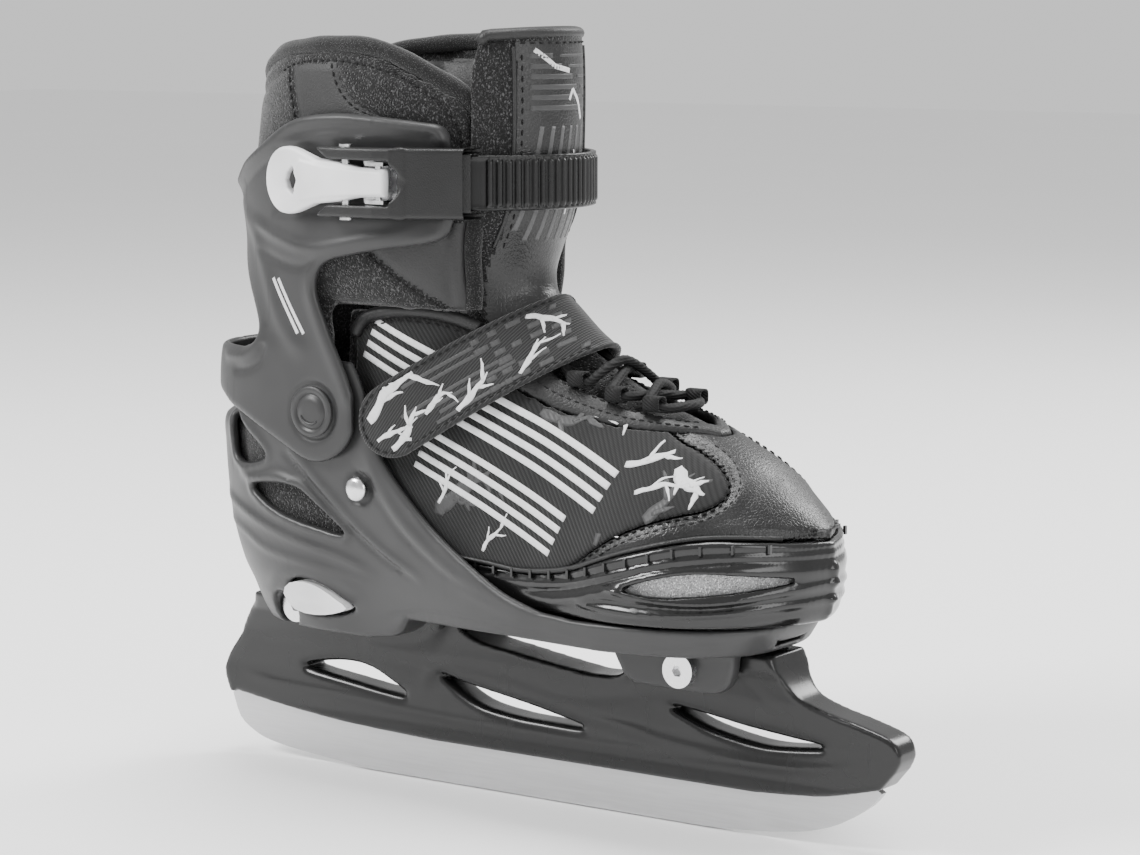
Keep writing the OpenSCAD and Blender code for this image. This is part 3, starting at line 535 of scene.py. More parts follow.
def boot_shell():
    g = Grid((-129, -46, 46.5), (108, 46, 152), 1.0)
    outside = g.distance(shell_implicit(g))
    relief = (
        crease(g, [(-79, 117), (-74, 113.5), (-63, 103), (-50, 92.3), (-35, 83), (-20, 77)], 1.0, -0.9)
        + crease(g, [(-76, 118), (-70, 114), (-59, 104), (-47, 93.5), (-32, 84), (-16, 77.5)], 1.8, 0.7)
        + crease(g, [(-104, 108), (-95, 106), (-82, 108), (-73, 105), (-61, 98), (-50, 88)], 2.2, 1.1)
        + crease(g, [(-122, 99), (-106, 94.5), (-91, 90), (-75, 86), (-56, 82), (-38, 76)], 2.0, 0.9)
        + crease(g, [(-122, 90), (-104, 86), (-90, 81), (-65, 77.5), (-40, 74)], 1.8, 0.7)
        + crease(g, [(-50, 117), (-38.3, 105), (-28, 94), (-15, 85.5), (-2, 79.5), (31, 70.5)], 1.2, -0.5)
        + crease(g, [(-44, 124), (-35, 107), (-24, 95), (-3, 81), (18, 73.5), (34, 70.8)], 2.4, 0.6)
        + crease(g, [(-118, 56), (-108, 62), (-95, 66), (-84, 73), (-60, 74), (-46, 66)], 2.4, 0.5)
        + crease(g, [(-45, 60), (-20, 66), (20, 66.5), (60, 64.2), (96, 66.5)], 1.2, -0.4)
    )
    side_wall = step01((np.abs(g.y) - 14) / 12)
    outside = outside - relief * side_wall
    outline = np.vstack([
        [(-118, 53), (-52, 53)], spline([(-39, 55), (-34, 57.8), (-30, 62.4)]),
        [(20, 63.4), (52, 62.4), (120, 62.4), (120, RIM_Z), (45, RIM_Z)],
        spline([(32, 73.5), (18, 78), (6, 84), (-6, 91), (-16, 98), (-25, 106), (-33, 114.5),
                (-39, 125), (-42, 137), (-48, 149)]), [(-62, 150), (-100, 146), (-130, 143)]])
    solid = smax(outside, polygon(outline, g.x, g.z), 2.0)
    inside = smax(outside + relief * side_wall + SHELL_T, DECK_Z - g.z, 2.0)
    solid = smax(solid, -inside, 1.2)
    for vent, deep in ((spline(VENT_UPPER, 5, True), 34), (spline(VENT_LOWER, 5, True), 32)):
        area = polygon(vent, g.x, g.z)
        lip = 0.7 * np.exp(-(((area - 1.6) / 1.6) ** 2))
        solid = smax(solid - lip * (outside > -1), -area, 1.6)
    lug = np.vstack([[(41, 63), (48, 50.5)],
                     spline([(52, 48.4), (80, 48), (87.5, 50.5), (90, 56), (90.5, 63)])])
    lug = smax(polygon(lug, g.x, g.z), np.abs(np.abs(g.y) - 14.4) - 2.8, 1.6)
    solid = smin(solid, lug, 3.0)
    pocket = smax(np.maximum(np.abs(g.x + 84) - 54.7, g.z - 61.8), np.abs(g.y) - 16, 0.6)
    slot = smax(np.maximum(np.abs(g.x - 70) - 40, g.z - 61.8), np.abs(g.y) - 11.7, 0.6)
    solid = np.maximum(solid, -np.minimum(pocket, slot))
    for at in (FRONT_HOLE, REAR_HOLE):
        solid = np.maximum(solid, -hole(g, at, 6.4))
    head = smax(hole(g, REAR_HOLE, 12.7), 17.0 - np.abs(g.y), 0.5)
    solid = smax(solid, -head, 1.2)
    for at, d, deep in ((PIVOT, 9.4, 20), (RIVET_AT, 4.2, 20)):
        solid = np.maximum(solid, -np.maximum(hole(g, at, d), deep - np.abs(g.y)))
    ring = hole(g, RIVET_AT, 11.5)
    solid = smax(solid, -smax(ring, -(outside + 0.9), 0.8), 0.8)
    well = [(-68 + (x + 68) * 1.08, 66 + (z - 66) * 1.18) for x, z in spline(BUTTON_EDGE, 5, True)]
    solid = smax(solid, -np.maximum(polygon(well, g.x, g.z), g.y + 25), 1.4)
    rack = np.maximum(np.maximum(np.abs(g.y) - 8.4, np.abs(g.x - 4) - 97), 64.6 - g.z)
    latch = np.maximum(np.maximum(np.abs(g.x + 69) - 4.4, np.abs(g.z - 63.65) - 1.35), g.y - 24)
    solid = np.maximum(solid, -np.minimum(rack, latch))
    return moulded("boot_shell_moulding", g, solid, "boot", SHELL, ["boot_shell"])


VENT_UPPER = [(-106, 127), (-96, 121.5), (-87, 115), (-92, 111.8), (-102, 111), (-106, 115.5)]
VENT_LOWER = [(-95, 103.2), (-84, 105), (-73, 104.8), (-66, 101), (-53, 90.4), (-66, 91.6),
              (-80, 94.6), (-90, 98.6)]
BUTTON_EDGE = [(-82, 66.5), (-79.5, 70.3), (-73, 71.3), (-66, 69.8), (-59, 66.6), (-54.5, 64),
               (-60, 61.6), (-68, 60.4), (-77, 61.4)]

CUFF_REAR = [[110, 72], [128, 71], [151, 71.6], [158, 64.6], [185, 63], [202, 66], [212, 66]]
CUFF_FRONT = [[110, 34], [150, 48], [175, 60], [190, 65], [235, 66]]
CUFF_HALF = [[110, 42.2], [150, 42.6], [175, 44], [195, 45], [235, 45.4]]
CUFF_POWER = [[110, 3.4], [150, 2.6], [190, 2], [235, 2]]


def leg_implicit(g, rear, front, half, power):
    a = np.where(g.x < CUFF_MID, key(rear, g.z), key(front, g.z))
    p = key(power, g.z)
    return (np.abs(g.x - CUFF_MID) / a) ** p + (np.abs(g.y) / key(half, g.z)) ** p - 1


def cuff():
    g = Grid((-127, -50, 112), (18, 50, 236), 1.0)
    outside = g.distance(leg_implicit(g, CUFF_REAR, CUFF_FRONT, CUFF_HALF, CUFF_POWER))
    lobe = [(PIVOT[0] + 17.5 * math.cos(math.radians(a)), PIVOT[1] + 17.5 * math.sin(math.radians(a)))
            for a in range(-20, -119, -7)]
    top = spline([(-108, 209), (-98, 214), (-83, 222), (-71, 228), (-61, 231), (-46, 232.2),
                  (-32, 231.4), (-18, 229.8), (-11.5, 228.6), (-9, 225)])
    arch = spline([(-8.6, 203), (-9, 196), (-13, 190.6), (-30, 187.6), (-42, 185.5), (-53, 182.7),
                   (-57.6, 178.4), (-58.6, 172), (-55, 162.2), (-53, 157.3), (-48, 146.8),
                   (-44.6, 138.6)])
    outline = np.vstack([lobe, spline([(-81, 122.2), (-94, 127.6), (-103, 130.6), (-112, 134), (-128, 136)]),
                         [(-128, 208)], top, arch])
    rim, _ = polyline(top, g.x, g.z)
    band, along = polyline(arch, g.x, g.z)
    relief = 1.5 * np.exp(-(((rim - 1.6) / 2.6) ** 2)) + 0.7 * np.exp(-(((band - 2.2) / 2.4) ** 2))
    relief = relief + (
        crease(g, [(-121, 210), (-108, 212.5), (-90, 216), (-70, 222), (-40, 225.5), (-14, 224.5)], 2.0, 0.8)
        + crease(g, [(-112, 200), (-100, 205), (-84, 214), (-66, 221)], 1.6, -0.4)
        + crease(g, [(-104, 200), (-92, 190), (-84, 178), (-74, 160), (-62, 150)], 3.5, 0.7)
        + crease(g, [(-96, 196), (-76, 190), (-60, 187), (-40, 190), (-12, 196.5)], 2.0, 0.8)
        + crease(g, [(-92, 186), (-76, 182), (-64, 181), (-50, 186), (-30, 190.5)], 1.5, -0.5)
        + crease(g, [(-84, 154), (-86, 148), (-92, 144.5), (-102, 143)], 1.6, -0.7)
        + crease(g, [(-84, 161), (-88, 153), (-95, 148.5), (-110, 148)], 2.0, 0.7)
    )
    recess = polygon([(-80, 196), (-10, 197), (-8, 224), (-76, 221)], g.x, g.z)
    relief = relief - 0.7 * step01(-recess / 3) * (g.y < 0)
    relief = relief * step01((np.abs(g.y) - 10) / 10)
    cap = hole(g, PIVOT, 18.6)
    relief = relief - 0.8 * np.exp(-((cap / 0.9) ** 2))
    wall = smax(outside - relief, -(outside + CUFF_T), 1.0)
    solid = smax(wall, polygon(outline, g.x, g.z), 2.2)
    window = np.vstack([[(-130, 151)], spline([(-96, 151.6), (-90, 154), (-88.6, 158.8), (-93, 167),
                                               (-103, 179), (-108, 190)]), [(-130, 190)]])
    solid = smax(solid, -polygon(window, g.x, g.z), 2.2)
    solid = np.maximum(solid, -np.maximum(hole(g, PIVOT, 9.4), 20 - np.abs(g.y)))
    for x in (-21.5, -35.5):
        solid = np.maximum(solid, -np.maximum(hole(g, (x, BUCKLE_Z), 3.3), g.y + 20))
    solid = np.maximum(solid, -np.maximum(hole(g, (-20, BUCKLE_Z), 4.3), 20 - g.y))
    return moulded("cuff_moulding", g, solid, "leg_cuff", CUFF, ["cuff"])


# ------------------------------------------------------------------ holder and runner

HOLDER_EDGE = np.vstack([
    spline([(-133, 27), (-130.5, 21.4), (-128, 22.1)]),
    spline([(-100, 18.3), (-79, 16.2), (-59, 15.2), (-40, 14.5)]),
    spline([(90, 14.5), (106, 15.7), (117, 16.9), (128, 19.5), (138, 22.1)]),
    spline([(143, 28), (145, 33), (142, 38.5), (131, 42), (118, 45), (107, 49), (100.5, 55), (99.5, 62)]),
    [(52, 62)],
    spline([(47, 55), (40, 48.2), (30, 46.8), (21, 47.4), (8, 49), (-4, 50.7), (-17, 52.7), (-25, 56.5),
            (-29, 62)]), [(-110, 62)],
    spline([(-118, 53), (-124, 44.5), (-131, 35.5), (-133.5, 30)])])
WINDOWS = [
    [(-95, 34.5), (-88, 37.2), (-76, 38.6), (-66, 37.4), (-57, 33.4), (-51, 29.8), (-60, 30.2), (-76, 32)],
    [(-35, 38.8), (-23, 36.5), (-4, 33.5), (10, 31), (24, 27.8), (8, 27.8), (-6, 28.4), (-21, 31)],
    [(60, 39.6), (74, 38.2), (88, 36.2), (104, 34.6), (117, 33.2), (106, 31.7), (94, 31.2), (80, 33),
     (69, 35.6)]]
RUNNER_EDGE = np.vstack([
    spline([(-133, 20), (-129.5, 11.5), (-123, 7), (-116, 4.6), (-102, 2.6), (-81, 0.9), (-70, 0)]),
    spline([(70, 0), (88, 1.1), (99, 2.4), (110, 4.2), (121, 8), (132, 15), (136.5, 20)]),
    [(131, 23.5), (60, 22), (-60, 22), (-126, 25)]])
HOLDER_HALF_Z = [14, 20, 33, 46, 54, 61.6]
HOLDER_HALF_Y = [4.2, 6.5, 6.0, 7.0, 9.5, 15.5]


def blade_holder():
    g = Grid((-136, -17.5, 12), (148, 17.5, 63), 0.9)
    rail = smax(polygon(HOLDER_EDGE, g.x, g.z), np.abs(g.y) - 8, 1.0)
    rear = smax(polygon([(-122, 46), (-40, 46), (-27, 61.6), (-111, 61.6)], g.x, g.z),
                np.abs(g.y) - 15.5, 2.0)
    front = smax(polygon([(50, 44), (108, 44), (99.8, 61.6), (52, 61.6)], g.x, g.z),
                 np.abs(g.y) - 11.3, 2.0)
    solid = smin(smin(rail, rear, 4.0), front, 4.0)
    half = np.interp(g.z, HOLDER_HALF_Z, HOLDER_HALF_Y)
    relief = 0.4 * (
        crease(g, [(-128, 33), (-118, 43), (-100, 45), (-70, 43.5), (-40, 40), (0, 35), (40, 30.5),
                   (60, 27), (100, 25), (130, 27)], 2.2, 0.9)
        + crease(g, [(-44, 29), (-36, 42), (-10, 43), (20, 38), (60, 44), (92, 41), (128, 36)], 2.4, 0.8)
        + crease(g, [(-126, 30), (-110, 27.5), (-80, 26.5), (-46, 24.5), (0, 23.5), (60, 23.6),
                     (110, 25.5), (138, 30)], 1.4, 0.6)
        + crease(g, [(88, 60), (92, 50), (99, 44.5), (112, 40)], 1.8, 0.9)
        + crease(g, [(-30, 58), (-44, 49), (-70, 47)], 2.0, 0.7))
    solid = smax(solid, np.abs(g.y) - half - relief, 1.6)
    solid = smax(solid, g.z - 61.6, 0.8)
    for w in WINDOWS:
        area = polygon(spline(w, 6, True), g.x, g.z)
        solid = smax(solid, -area, 3.0)
    blade = smax(polygon(RUNNER_EDGE, g.x, g.z), np.abs(g.y) - 1.55, 0.1)
    solid = np.maximum(solid, -blade)
    for at in (FRONT_HOLE, REAR_HOLE):
        far = np.maximum(hole(g, at, 8.6), 8.9 - g.y)
        solid = np.maximum(solid, -np.minimum(hole(g, at, 6.3), far))
    return moulded("blade_holder_moulding", g, solid, "boot", HOLDER, ["blade_holder"])


# ------------------------------------------------------------------ toe section

TOE_HALF = [[0, 35.4], [20, 38.5], [38, 40.9], [58, 44.4], [72, 44], [86, 40.5], [98, 33], [107, 24],
            [114, 12.5], [118, 0.3], [122, -14]]
TOE_ROUND = [[72, 0.945], [80, 0.99], [90, 1], [101, 0.985]]
VENT_EYE = [(66, 84.6), (76, 88.4), (88, 90.8), (100, 90.4), (112, 88), (100, 85.4), (88, 84), (76, 83.4)]
DOME_HALF = [[-50, 31.4], [-36, 33.4], [-20, 34.6], [0, 35.4], [20, 37.8], [38, 40.4], [58, 43],
             [72, 42.8], [86, 39.6], [98, 32.4], [107, 23.4], [113, 13], [116, 2]]
DOME_TOP = [[-50, 232], [-36, 214], [-20, 196], [0, 177], [13, 166.5], [24, 157], [36, 149.5],
            [50, 142], [64, 136.5], [76, 130.5], [88, 124], [98, 117], [107, 109.5], [113, 104],
            [116, 100.5]]
DOME_POWER = [[-50, 2.8], [-30, 2.6], [-10, 2.1], [20, 1.65], [60, 1.75], [80, 2], [116, 2.2]]
DOME_BASE = 82
THROAT_HALF = [[-6, 24], [5, 19], [24, 16], [40, 14.5], [55, 12], [66, 8], [72, 0.5]]
EYESTAY_W = 5
NOTCH_LINE = [(-14, 84), (1.5, 83.3), (20, 83.6), (42, 85.5), (63, 91), (85, 96.6), (104, 97.6),
              (120, 96.5), (140, 95)]
LIP_LINE = [(17, 79), (38, 81), (59, 86.3), (78, 92), (96, 94.6), (110, 94.4), (125, 93), (140, 92)]


def toe_implicit(g):
    k = key(TOE_ROUND, g.z)
    x = np.where(g.x > 0, g.x / (1 - (1 - k) * 0.6), g.x)
    half = key(TOE_HALF, x)
    half = np.where(x > 122, -14.0 - 3.5 * (x - 122), half)
    return np.abs(g.y) * np.abs(g.y) - half * k * np.abs(half * k)


def toe_shell():
    g = Grid((-16, -48, 71.5), (122, 48, 104), 0.8)
    outside = g.distance(toe_implicit(g))
    roll = [(x, z - 3.6) for x, z in LIP_LINE]
    relief = (
        crease(g, NOTCH_LINE, 0.8, -0.9) + crease(g, LIP_LINE, 0.9, -1.0) + crease(g, roll, 2.0, 0.9)
        + crease(g, [(58, 85), (66, 83.6), (78, 82), (94, 81.8), (108, 84), (125, 87), (140, 88)], 1.1, 1.3)
        + crease(g, [(50, 80.5), (72, 79.6), (94, 79.8), (114, 82.6), (140, 84)], 0.9, -0.7)
        + crease(g, [(46, 78.2), (56, 77.4), (72, 77), (94, 78), (112, 80), (140, 81.5)], 1.1, 1.1)
        + crease(g, [(30, 74.4), (60, 73.6), (92, 74.6), (140, 77.5)], 1.2, 0.5))
    relief = relief * step01((g.x + 14) / 20) * mix(1, 0.45, step01((g.x - 98) / 14))
    seam = spline([(x, z) for x, z in SEAM if x > -16], 6)
    edge = np.vstack([[(-30, 60), (130, 60), (130, 98.6)], seam[::-1], [(-30, 86.5)]])
    solid = smax(outside - relief, polygon(edge, g.x, g.z), 1.6)
    solid = smax(solid, BUMPER_Z - g.z, 1.6)
    inside = smax(outside + 2.4, BUMPER_Z + 2.6 - g.z, 1.5)
    mouth = np.maximum(np.maximum(np.abs(g.y) - 30.5, g.x + 11), BUMPER_Z + 3.1 - g.z)
    solid = smax(solid, -np.minimum(inside, mouth), 0.8)
    vent = polygon(spline(VENT_EYE, 6, True), g.x, g.z)
    solid = smax(solid, -vent, 1.6)
    for x in (10, 48):
        screw = np.sqrt((g.x - x) ** 2 + g.y**2) - 1.6
        solid = np.maximum(solid, -np.maximum(screw, g.z - 80))
    solid = np.maximum(solid, -15 - g.x)
    return moulded("toe_shell_moulding", g, solid, "toe", BUMPER, ["toe_shell"])


def welt_notches():
    """Short notches moulded every few millimetres along the welt."""
    verts, faces = [], []
    line = resample(spline(NOTCH_LINE, 8)[:-10], 8.0)
    for side in (-1, 1):
        for x, z in line[1:]:
            if x > 112:
                continue
            half = float(key(TOE_HALF, x))
            box = [(x - 0.45, side * (half + dy), z + dz) for dy in (-0.6, 0.55) for dz in (-0.2, 2.6)]
            box += [(x + 0.45, side * (half + dy), z + dz) for dy in (-0.6, 0.55) for dz in (-0.2, 2.6)]
            add_box(verts, faces, box)
    return piece("welt_notches", verts, faces, "toe", BUMPER, smooth=False)


BOX_FACES = [(0, 1, 3, 2), (4, 6, 7, 5), (0, 4, 5, 1), (2, 3, 7, 6), (0, 2, 6, 4), (1, 5, 7, 3)]


def add_box(verts, faces, corners):
    start = len(verts)
    verts.extend(corners)
    faces.extend([tuple(start + i for i in f) for f in BOX_FACES])


def dome_implicit(g, lift=0.0):
    half = np.maximum(key(DOME_HALF, g.x), 2) + lift
    high = key(DOME_TOP, g.x) - DOME_BASE + lift
    n = key(DOME_POWER, g.x)
    up = np.maximum(g.z - DOME_BASE, 0) / high
    return (np.abs(g.y) / half) ** n + up**n - 1


def dome_y(x, z, side, lift=0.0):
    """The place on the upper above (x, z) as seen from one side."""
    x = np.asarray(x, float)
    z = np.asarray(z, float)
    n = key(DOME_POWER, x)
    up = np.clip((z - DOME_BASE) / (key(DOME_TOP, x) - DOME_BASE + lift), 0, 1)
    return np.stack([x, side * (key(DOME_HALF, x) + lift) * (1 - up**n) ** (1 / n), z], -1)


def dome_z(x, y, lift=0.0):
    """The place on the upper above (x, y) as seen from above."""
    x = np.asarray(x, float)
    y = np.asarray(y, float)
    n = key(DOME_POWER, x)
    out = np.clip(np.abs(y) / (key(DOME_HALF, x) + lift), 0, 1)
    return np.stack([x, y, DOME_BASE + (key(DOME_TOP, x) - DOME_BASE + lift) * (1 - out**n) ** (1 / n)], -1)


def throat_edge(off):
    xs = np.array([-6, 5, 15, 24, 32, 40, 48, 55, 61, 66, 69.5, 72])
    x = xs + np.where(xs > 60, off * (xs - 60) / 12, 0)
    y = key(THROAT_HALF, xs) + off * np.where(xs > 60, (84 - xs) / 24, 1)
    return np.stack([x, y], 1)


def throat_outline(off):
    edge = spline(throat_edge(off), 4)
    return np.vstack([edge, (edge * (1, -1))[::-1]])


VAMP_FRONT = [(41, 88.2), (44.5, 90.2), (56.6, 98.6), (68.4, 104.3), (79, 107.8), (87, 109.8), (90.6, 113),
              (89.2, 117.2), (83.8, 121.9), (76.1, 126), (70.3, 128.2), (65, 130.8)]
COLLAR = [(-6, 161.5), (-14, 164.6), (-23, 166.4), (-35, 166.4), (-47, 163.5), (-52, 158)]


def seam_strip(x0, x1, lift):
    xs = np.arange(x0, x1 + 1, 4)
    return np.stack([xs, key(SEAM, xs) + lift], 1)


def upper_pieces():
    g = Grid((-54, -45, 82), (119, 45, 170), 0.9)
    outside = g.distance(dome_implicit(g))
    throat = polygon(throat_outline(EYESTAY_W), g.x, g.y)
    front = spline(VAMP_FRONT, 5)
    area = np.vstack([seam_strip(-52, 36, 0.3), front, [(63.5, 136), (62, 190), (-6, 190)], spline(COLLAR, 5)])
    flat = polygon(area, g.x, g.z)
    cap = np.maximum(np.maximum(0.25 - flat, key(SEAM, g.x) + 0.3 - g.z), 40 - g.x)
    puff = 0.45 * np.exp(-(((cap + 3.2) / 2.4) ** 2)) - 0.45 * np.exp(-(((cap + 1.7) / 0.5) ** 2))
    wall = smax(outside - puff * (g.x > 40), -(outside + UPPER_T), 0.5)
    solid = smax(smax(wall, cap, 1.2), -(throat - 0.3), 0.8)
    solid = smax(solid, g.x - 116.8, 1.5)
    solid = np.maximum(solid, g.z - key(DOME_TOP, g.x) - 2.5)
    solid = np.maximum(solid, np.abs(g.y) - np.maximum(key(DOME_HALF, g.x), 2) - 2.5)
    moulded("toe_cap_leather", g, solid, "toe", LEATHER, ["toe_cap"])
    wall = smax(outside, -(outside + UPPER_T), 0.5)
    for side, name in ((-1, "near"), (1, "far")):
        solid = smax(smax(wall, flat, 0.8), -(throat - 0.3), 0.8)
        solid = np.maximum(solid, 5 - side * g.y)
        moulded(f"vamp_textile_{name}", g, solid, "toe", TEXTILE, [f"vamp_panel_{name}"])
    hem = polygon(throat_outline(0), g.x, g.y)
    band = smax(outside - 0.9, -(outside + UPPER_T), 1.0)
    solid = smax(smax(smax(band, throat, 1.4), -hem, 1.4), -5 - g.x, 1.0)
    solid = smax(solid, 120 - g.z, 0.5)
    moulded("eyestay_binding", g, solid, "toe", BINDING, ["eyestay"])
    mesh = smax(outside + UPPER_T + 0.9, -(outside + UPPER_T + 2.2), 0.3)
    solid = smax(smax(mesh, polygon(throat_outline(3), g.x, g.y), 0.3), -5 - g.x, 0.3)
    solid = smax(solid, 120 - g.z, 0.3)
    moulded("throat_spacer_mesh", g, solid, "toe", MESH, ["throat_mesh"])


# ------------------------------------------------------------------ swept trims, stitches and prints


def unit(v):
    return v / np.maximum(np.linalg.norm(v, axis=-1, keepdims=True), 1e-9)


def loft(rings):
    """Quads through rings of points, with a cap at each end."""
    rings = np.asarray(rings, float)
    m, n = rings.shape[:2]
    faces = [(i * n + j, i * n + (j + 1) % n, (i + 1) * n + (j + 1) % n, (i + 1) * n + j)
             for i in range(m - 1) for j in range(n)]
    faces.append(tuple(range(n))[::-1])
    faces.append(tuple((m - 1) * n + j for j in range(n)))
    return rings.reshape(-1, 3), faces


def tube(path, radius, sides=10, flat=1.0, up=None):
    """Rings round a 3-D path; flat squeezes them along the up directions."""
    p = np.asarray(path, float)
    t = unit(np.gradient(p, axis=0))
    up = np.tile((0.0, 0.0, 1.0), (len(p), 1)) if up is None else np.asarray(up, float)
    side = unit(np.cross(up, t))
    up = np.cross(t, side)
    a = 2 * np.pi * np.arange(sides) / sides
    r = np.broadcast_to(radius, (len(p),))[:, None, None]
    return (p[:, None] + r * (np.cos(a)[None, :, None] * side[:, None]
                              + flat * np.sin(a)[None, :, None] * up[:, None]))


class Parts:
    """Several small closed meshes gathered into one piece."""

    def __init__(self):
        self.verts, self.faces = [], []

    def add(self, verts, faces):
        start = len(self.verts)
        self.verts.extend(np.asarray(verts).tolist())
        self.faces.extend([tuple(start + i for i in f) for f in faces])

    def make(self, name, body, material, slot, replaces=(), smooth=True):
        return piece(name, self.verts, self.faces, body, material, replaces, smooth)


def stitches(parts, path, length=2.3, gap=1.0, radius=0.32, sink=0.08):
    """A row of thread stitches along a 3-D path that lies on a surface."""
    p = resample(path, 0.5)
    run = int(round((length + gap) / 0.5))
    on = int(round(length / 0.5))
    for start in range(0, len(p) - on, run):
        seg = p[start:start + on + 1]
        s = np.linspace(0, 1, len(seg))
        r = radius * np.sqrt(np.clip(1 - (2 * s - 1) ** 4, 0.05, 1))
        parts.add(*loft(tube(seg, r, 6)))


def ribbon(parts, path, widths, place, lift=0.1, thick=0.35):
    """A flat printed stroke along a 2-D path, laid on a surface by place(points, lift)."""
    p = np.asarray(path, float)
    t = unit(np.gradient(p, axis=0))
    n = np.stack([-t[:, 1], t[:, 0]], 1)
    w = np.broadcast_to(widths, (len(p),))[:, None, None] / 2
    j = np.array([-1, -0.4, 0.4, 1])[None, :, None]
    flat = p[:, None] + n[:, None] * w * j
    top = place(flat[..., 0], flat[..., 1], lift)
    under = place(flat[..., 0], flat[..., 1], lift - thick)
    parts.add(*loft(np.concatenate([top, under[:, ::-1]], 1)))


def coral(rng, start, heading, length, width, depth=2):
    """Branching splash shapes as [(path, widths)], from seeded draws."""
    steps = max(int(length / 1.0), 5)
    angle = heading + np.cumsum(rng.normal(0, 0.13, steps))
    p = np.array(start) + np.vstack([(0, 0), np.cumsum(np.stack([np.cos(angle), np.sin(angle)], 1), 0)]) * (
        length / steps)
    s = np.linspace(0, 1, len(p))
    w = width * (0.3 + 0.7 * np.sin(np.pi * np.clip(0.12 + s * 0.88, 0, 1)) ** 0.8) * (1 - 0.55 * s**2)
    w = w * (1 + 0.18 * np.sin(s * 15 + rng.uniform(0, 6)))
    strokes = [(p, np.maximum(w, 0.4))]
    turn = rng.choice([-1, 1])
    for at in ((0.35, 0.62, 0.85) if depth else ()):
        i = int(at * steps)
        turn = -turn
        strokes += coral(rng, p[i], angle[min(i, steps - 1)] + turn * rng.uniform(0.45, 0.8),
                         length * rng.uniform(0.3, 0.5), width * 0.5, depth - 1)
    return strokes


def inside_run(path, widths, test, least=3):
    """The first stretch of a stroke that stays inside an area."""
    ok = test(path[:, 0], path[:, 1])
    if not ok.any():
        return None
    first = int(np.argmax(ok))
    rest = ok[first:]
    last = first + (int(np.argmin(rest)) if not rest.all() else len(rest))
    return (path[first:last], widths[first:last]) if last - first >= least else None


# ------------------------------------------------------------------ liner, tongue and insole

LEG_REAR = [[150, 61], [166, 60.5], [185, 59.2], [205, 61.2], [235, 57], [255, 53]]
LEG_FRONT = [[150, 56], [175, 60], [210, 61.5], [235, 62], [262, 63]]
LEG_HALF = [[150, 37.5], [170, 39], [190, 41], [210, 41.5], [262, 41.5]]
LEG_POWER = [[100, 2], [262, 2]]
LINER_TOP = [(-3, 218), (-5, 232), (-9, 239), (-17, 244.5), (-27, 250), (-37, 253.7), (-51, 254.6),
             (-66, 253.6), (-80, 251.5), (-94, 246.5), (-103, 239), (-112, 232)]
LINER_FRONT = [(-9, 81), (-9, 120), (-9, 150), (-7, 166), (-7, 189), (-3, 218)]
CUFF_Z = (138, 152)      # the heel part turns into the leg part between these heights
COLLAR_Z = (163, 177)    # below this the liner's arms run inside the upper


def leg_distance(g):
    return g.distance(leg_implicit(g, LEG_REAR, LEG_FRONT, LEG_HALF, LEG_POWER))


def liner_distance(g):
    """Distance to the outside of the whole liner, from the heel to the top of the leg."""
    low = g.distance(shell_implicit(g)) + SHELL_T + 0.8
    d = mix(low, leg_distance(g), step01((g.z - CUFF_Z[0]) / (CUFF_Z[1] - CUFF_Z[0])))
    n = key(DOME_POWER, g.x)
    up = np.clip((g.z - DOME_BASE) / (key(DOME_TOP, g.x) - DOME_BASE), 0, 1)
    inside_upper = (key(DOME_HALF, g.x) - 2.6) * (1 - up**n) ** (1 / n)
    free = np.maximum(step01((g.z - COLLAR_Z[0]) / (COLLAR_Z[1] - COLLAR_Z[0])),
                      step01((-54 - g.x) / 9))
    return smax(d, np.abs(g.y) - mix(inside_upper, 60, free), 3.0)


def inflate(obj, pressure, cap, hold=None, steps=20):
    """Cloth simulation with air pressure; hold(points) gives each point's share of the cap."""
    mesh = obj.data
    rest = np.array([v.co for v in mesh.vertices])
    cloth = obj.modifiers.new("cloth", "CLOTH")
    s = cloth.settings
    s.quality = 6
    s.mass = 0.25
    s.tension_stiffness, s.compression_stiffness, s.shear_stiffness = 18, 6, 6
    s.bending_stiffness = 0.4
    s.use_pressure = True
    s.uniform_pressure_force = pressure
    s.effector_weights.gravity = 0
    cloth.collision_settings.use_self_collision = False
    cloth.point_cache.frame_start, cloth.point_cache.frame_end = 1, steps
    scene = bpy.context.scene
    for f in range(1, steps + 1):
        scene.frame_set(f)
    made = obj.evaluated_get(bpy.context.evaluated_depsgraph_get())
    moved = np.array([v.co for v in made.data.vertices])
    obj.modifiers.clear()
    scene.frame_set(1)
    step = moved - rest
    size = np.linalg.norm(step, axis=1)
    share = np.ones(len(rest)) if hold is None else hold(rest / MM)
    limit = cap * MM * share
    step *= (limit * np.tanh(size / np.maximum(limit, 1e-9)) / np.maximum(size, 1e-12))[:, None]
    mesh.vertices.foreach_set("co", (rest + step).astype(np.float32).ravel())
    mesh.update()


def soften(obj, levels=1):
    sub = obj.modifiers.new("sub", "SUBSURF")
    sub.levels = sub.render_levels = levels
    apply_modifiers(obj)


def seams(obj, lines, depth=1.3, width=1.5, toward=None):
    """Presses sewn channels into a padded mesh, along curves seen from the side."""
    mesh = obj.data
    co = np.array([v.co for v in mesh.vertices]) / MM
    normal = np.array([v.normal for v in mesh.vertices])
    press = np.zeros(len(co))
    for line in lines:
        d, _ = polyline(spline(line, 5), co[:, 0], co[:, 2])
        press = np.maximum(press, np.exp(-((d / width) ** 2)))
    press *= np.abs(normal[:, 1])
    co -= normal * (depth * press)[:, None]
    mesh.vertices.foreach_set("co", (co * MM).astype(np.float32).ravel())
    mesh.update()


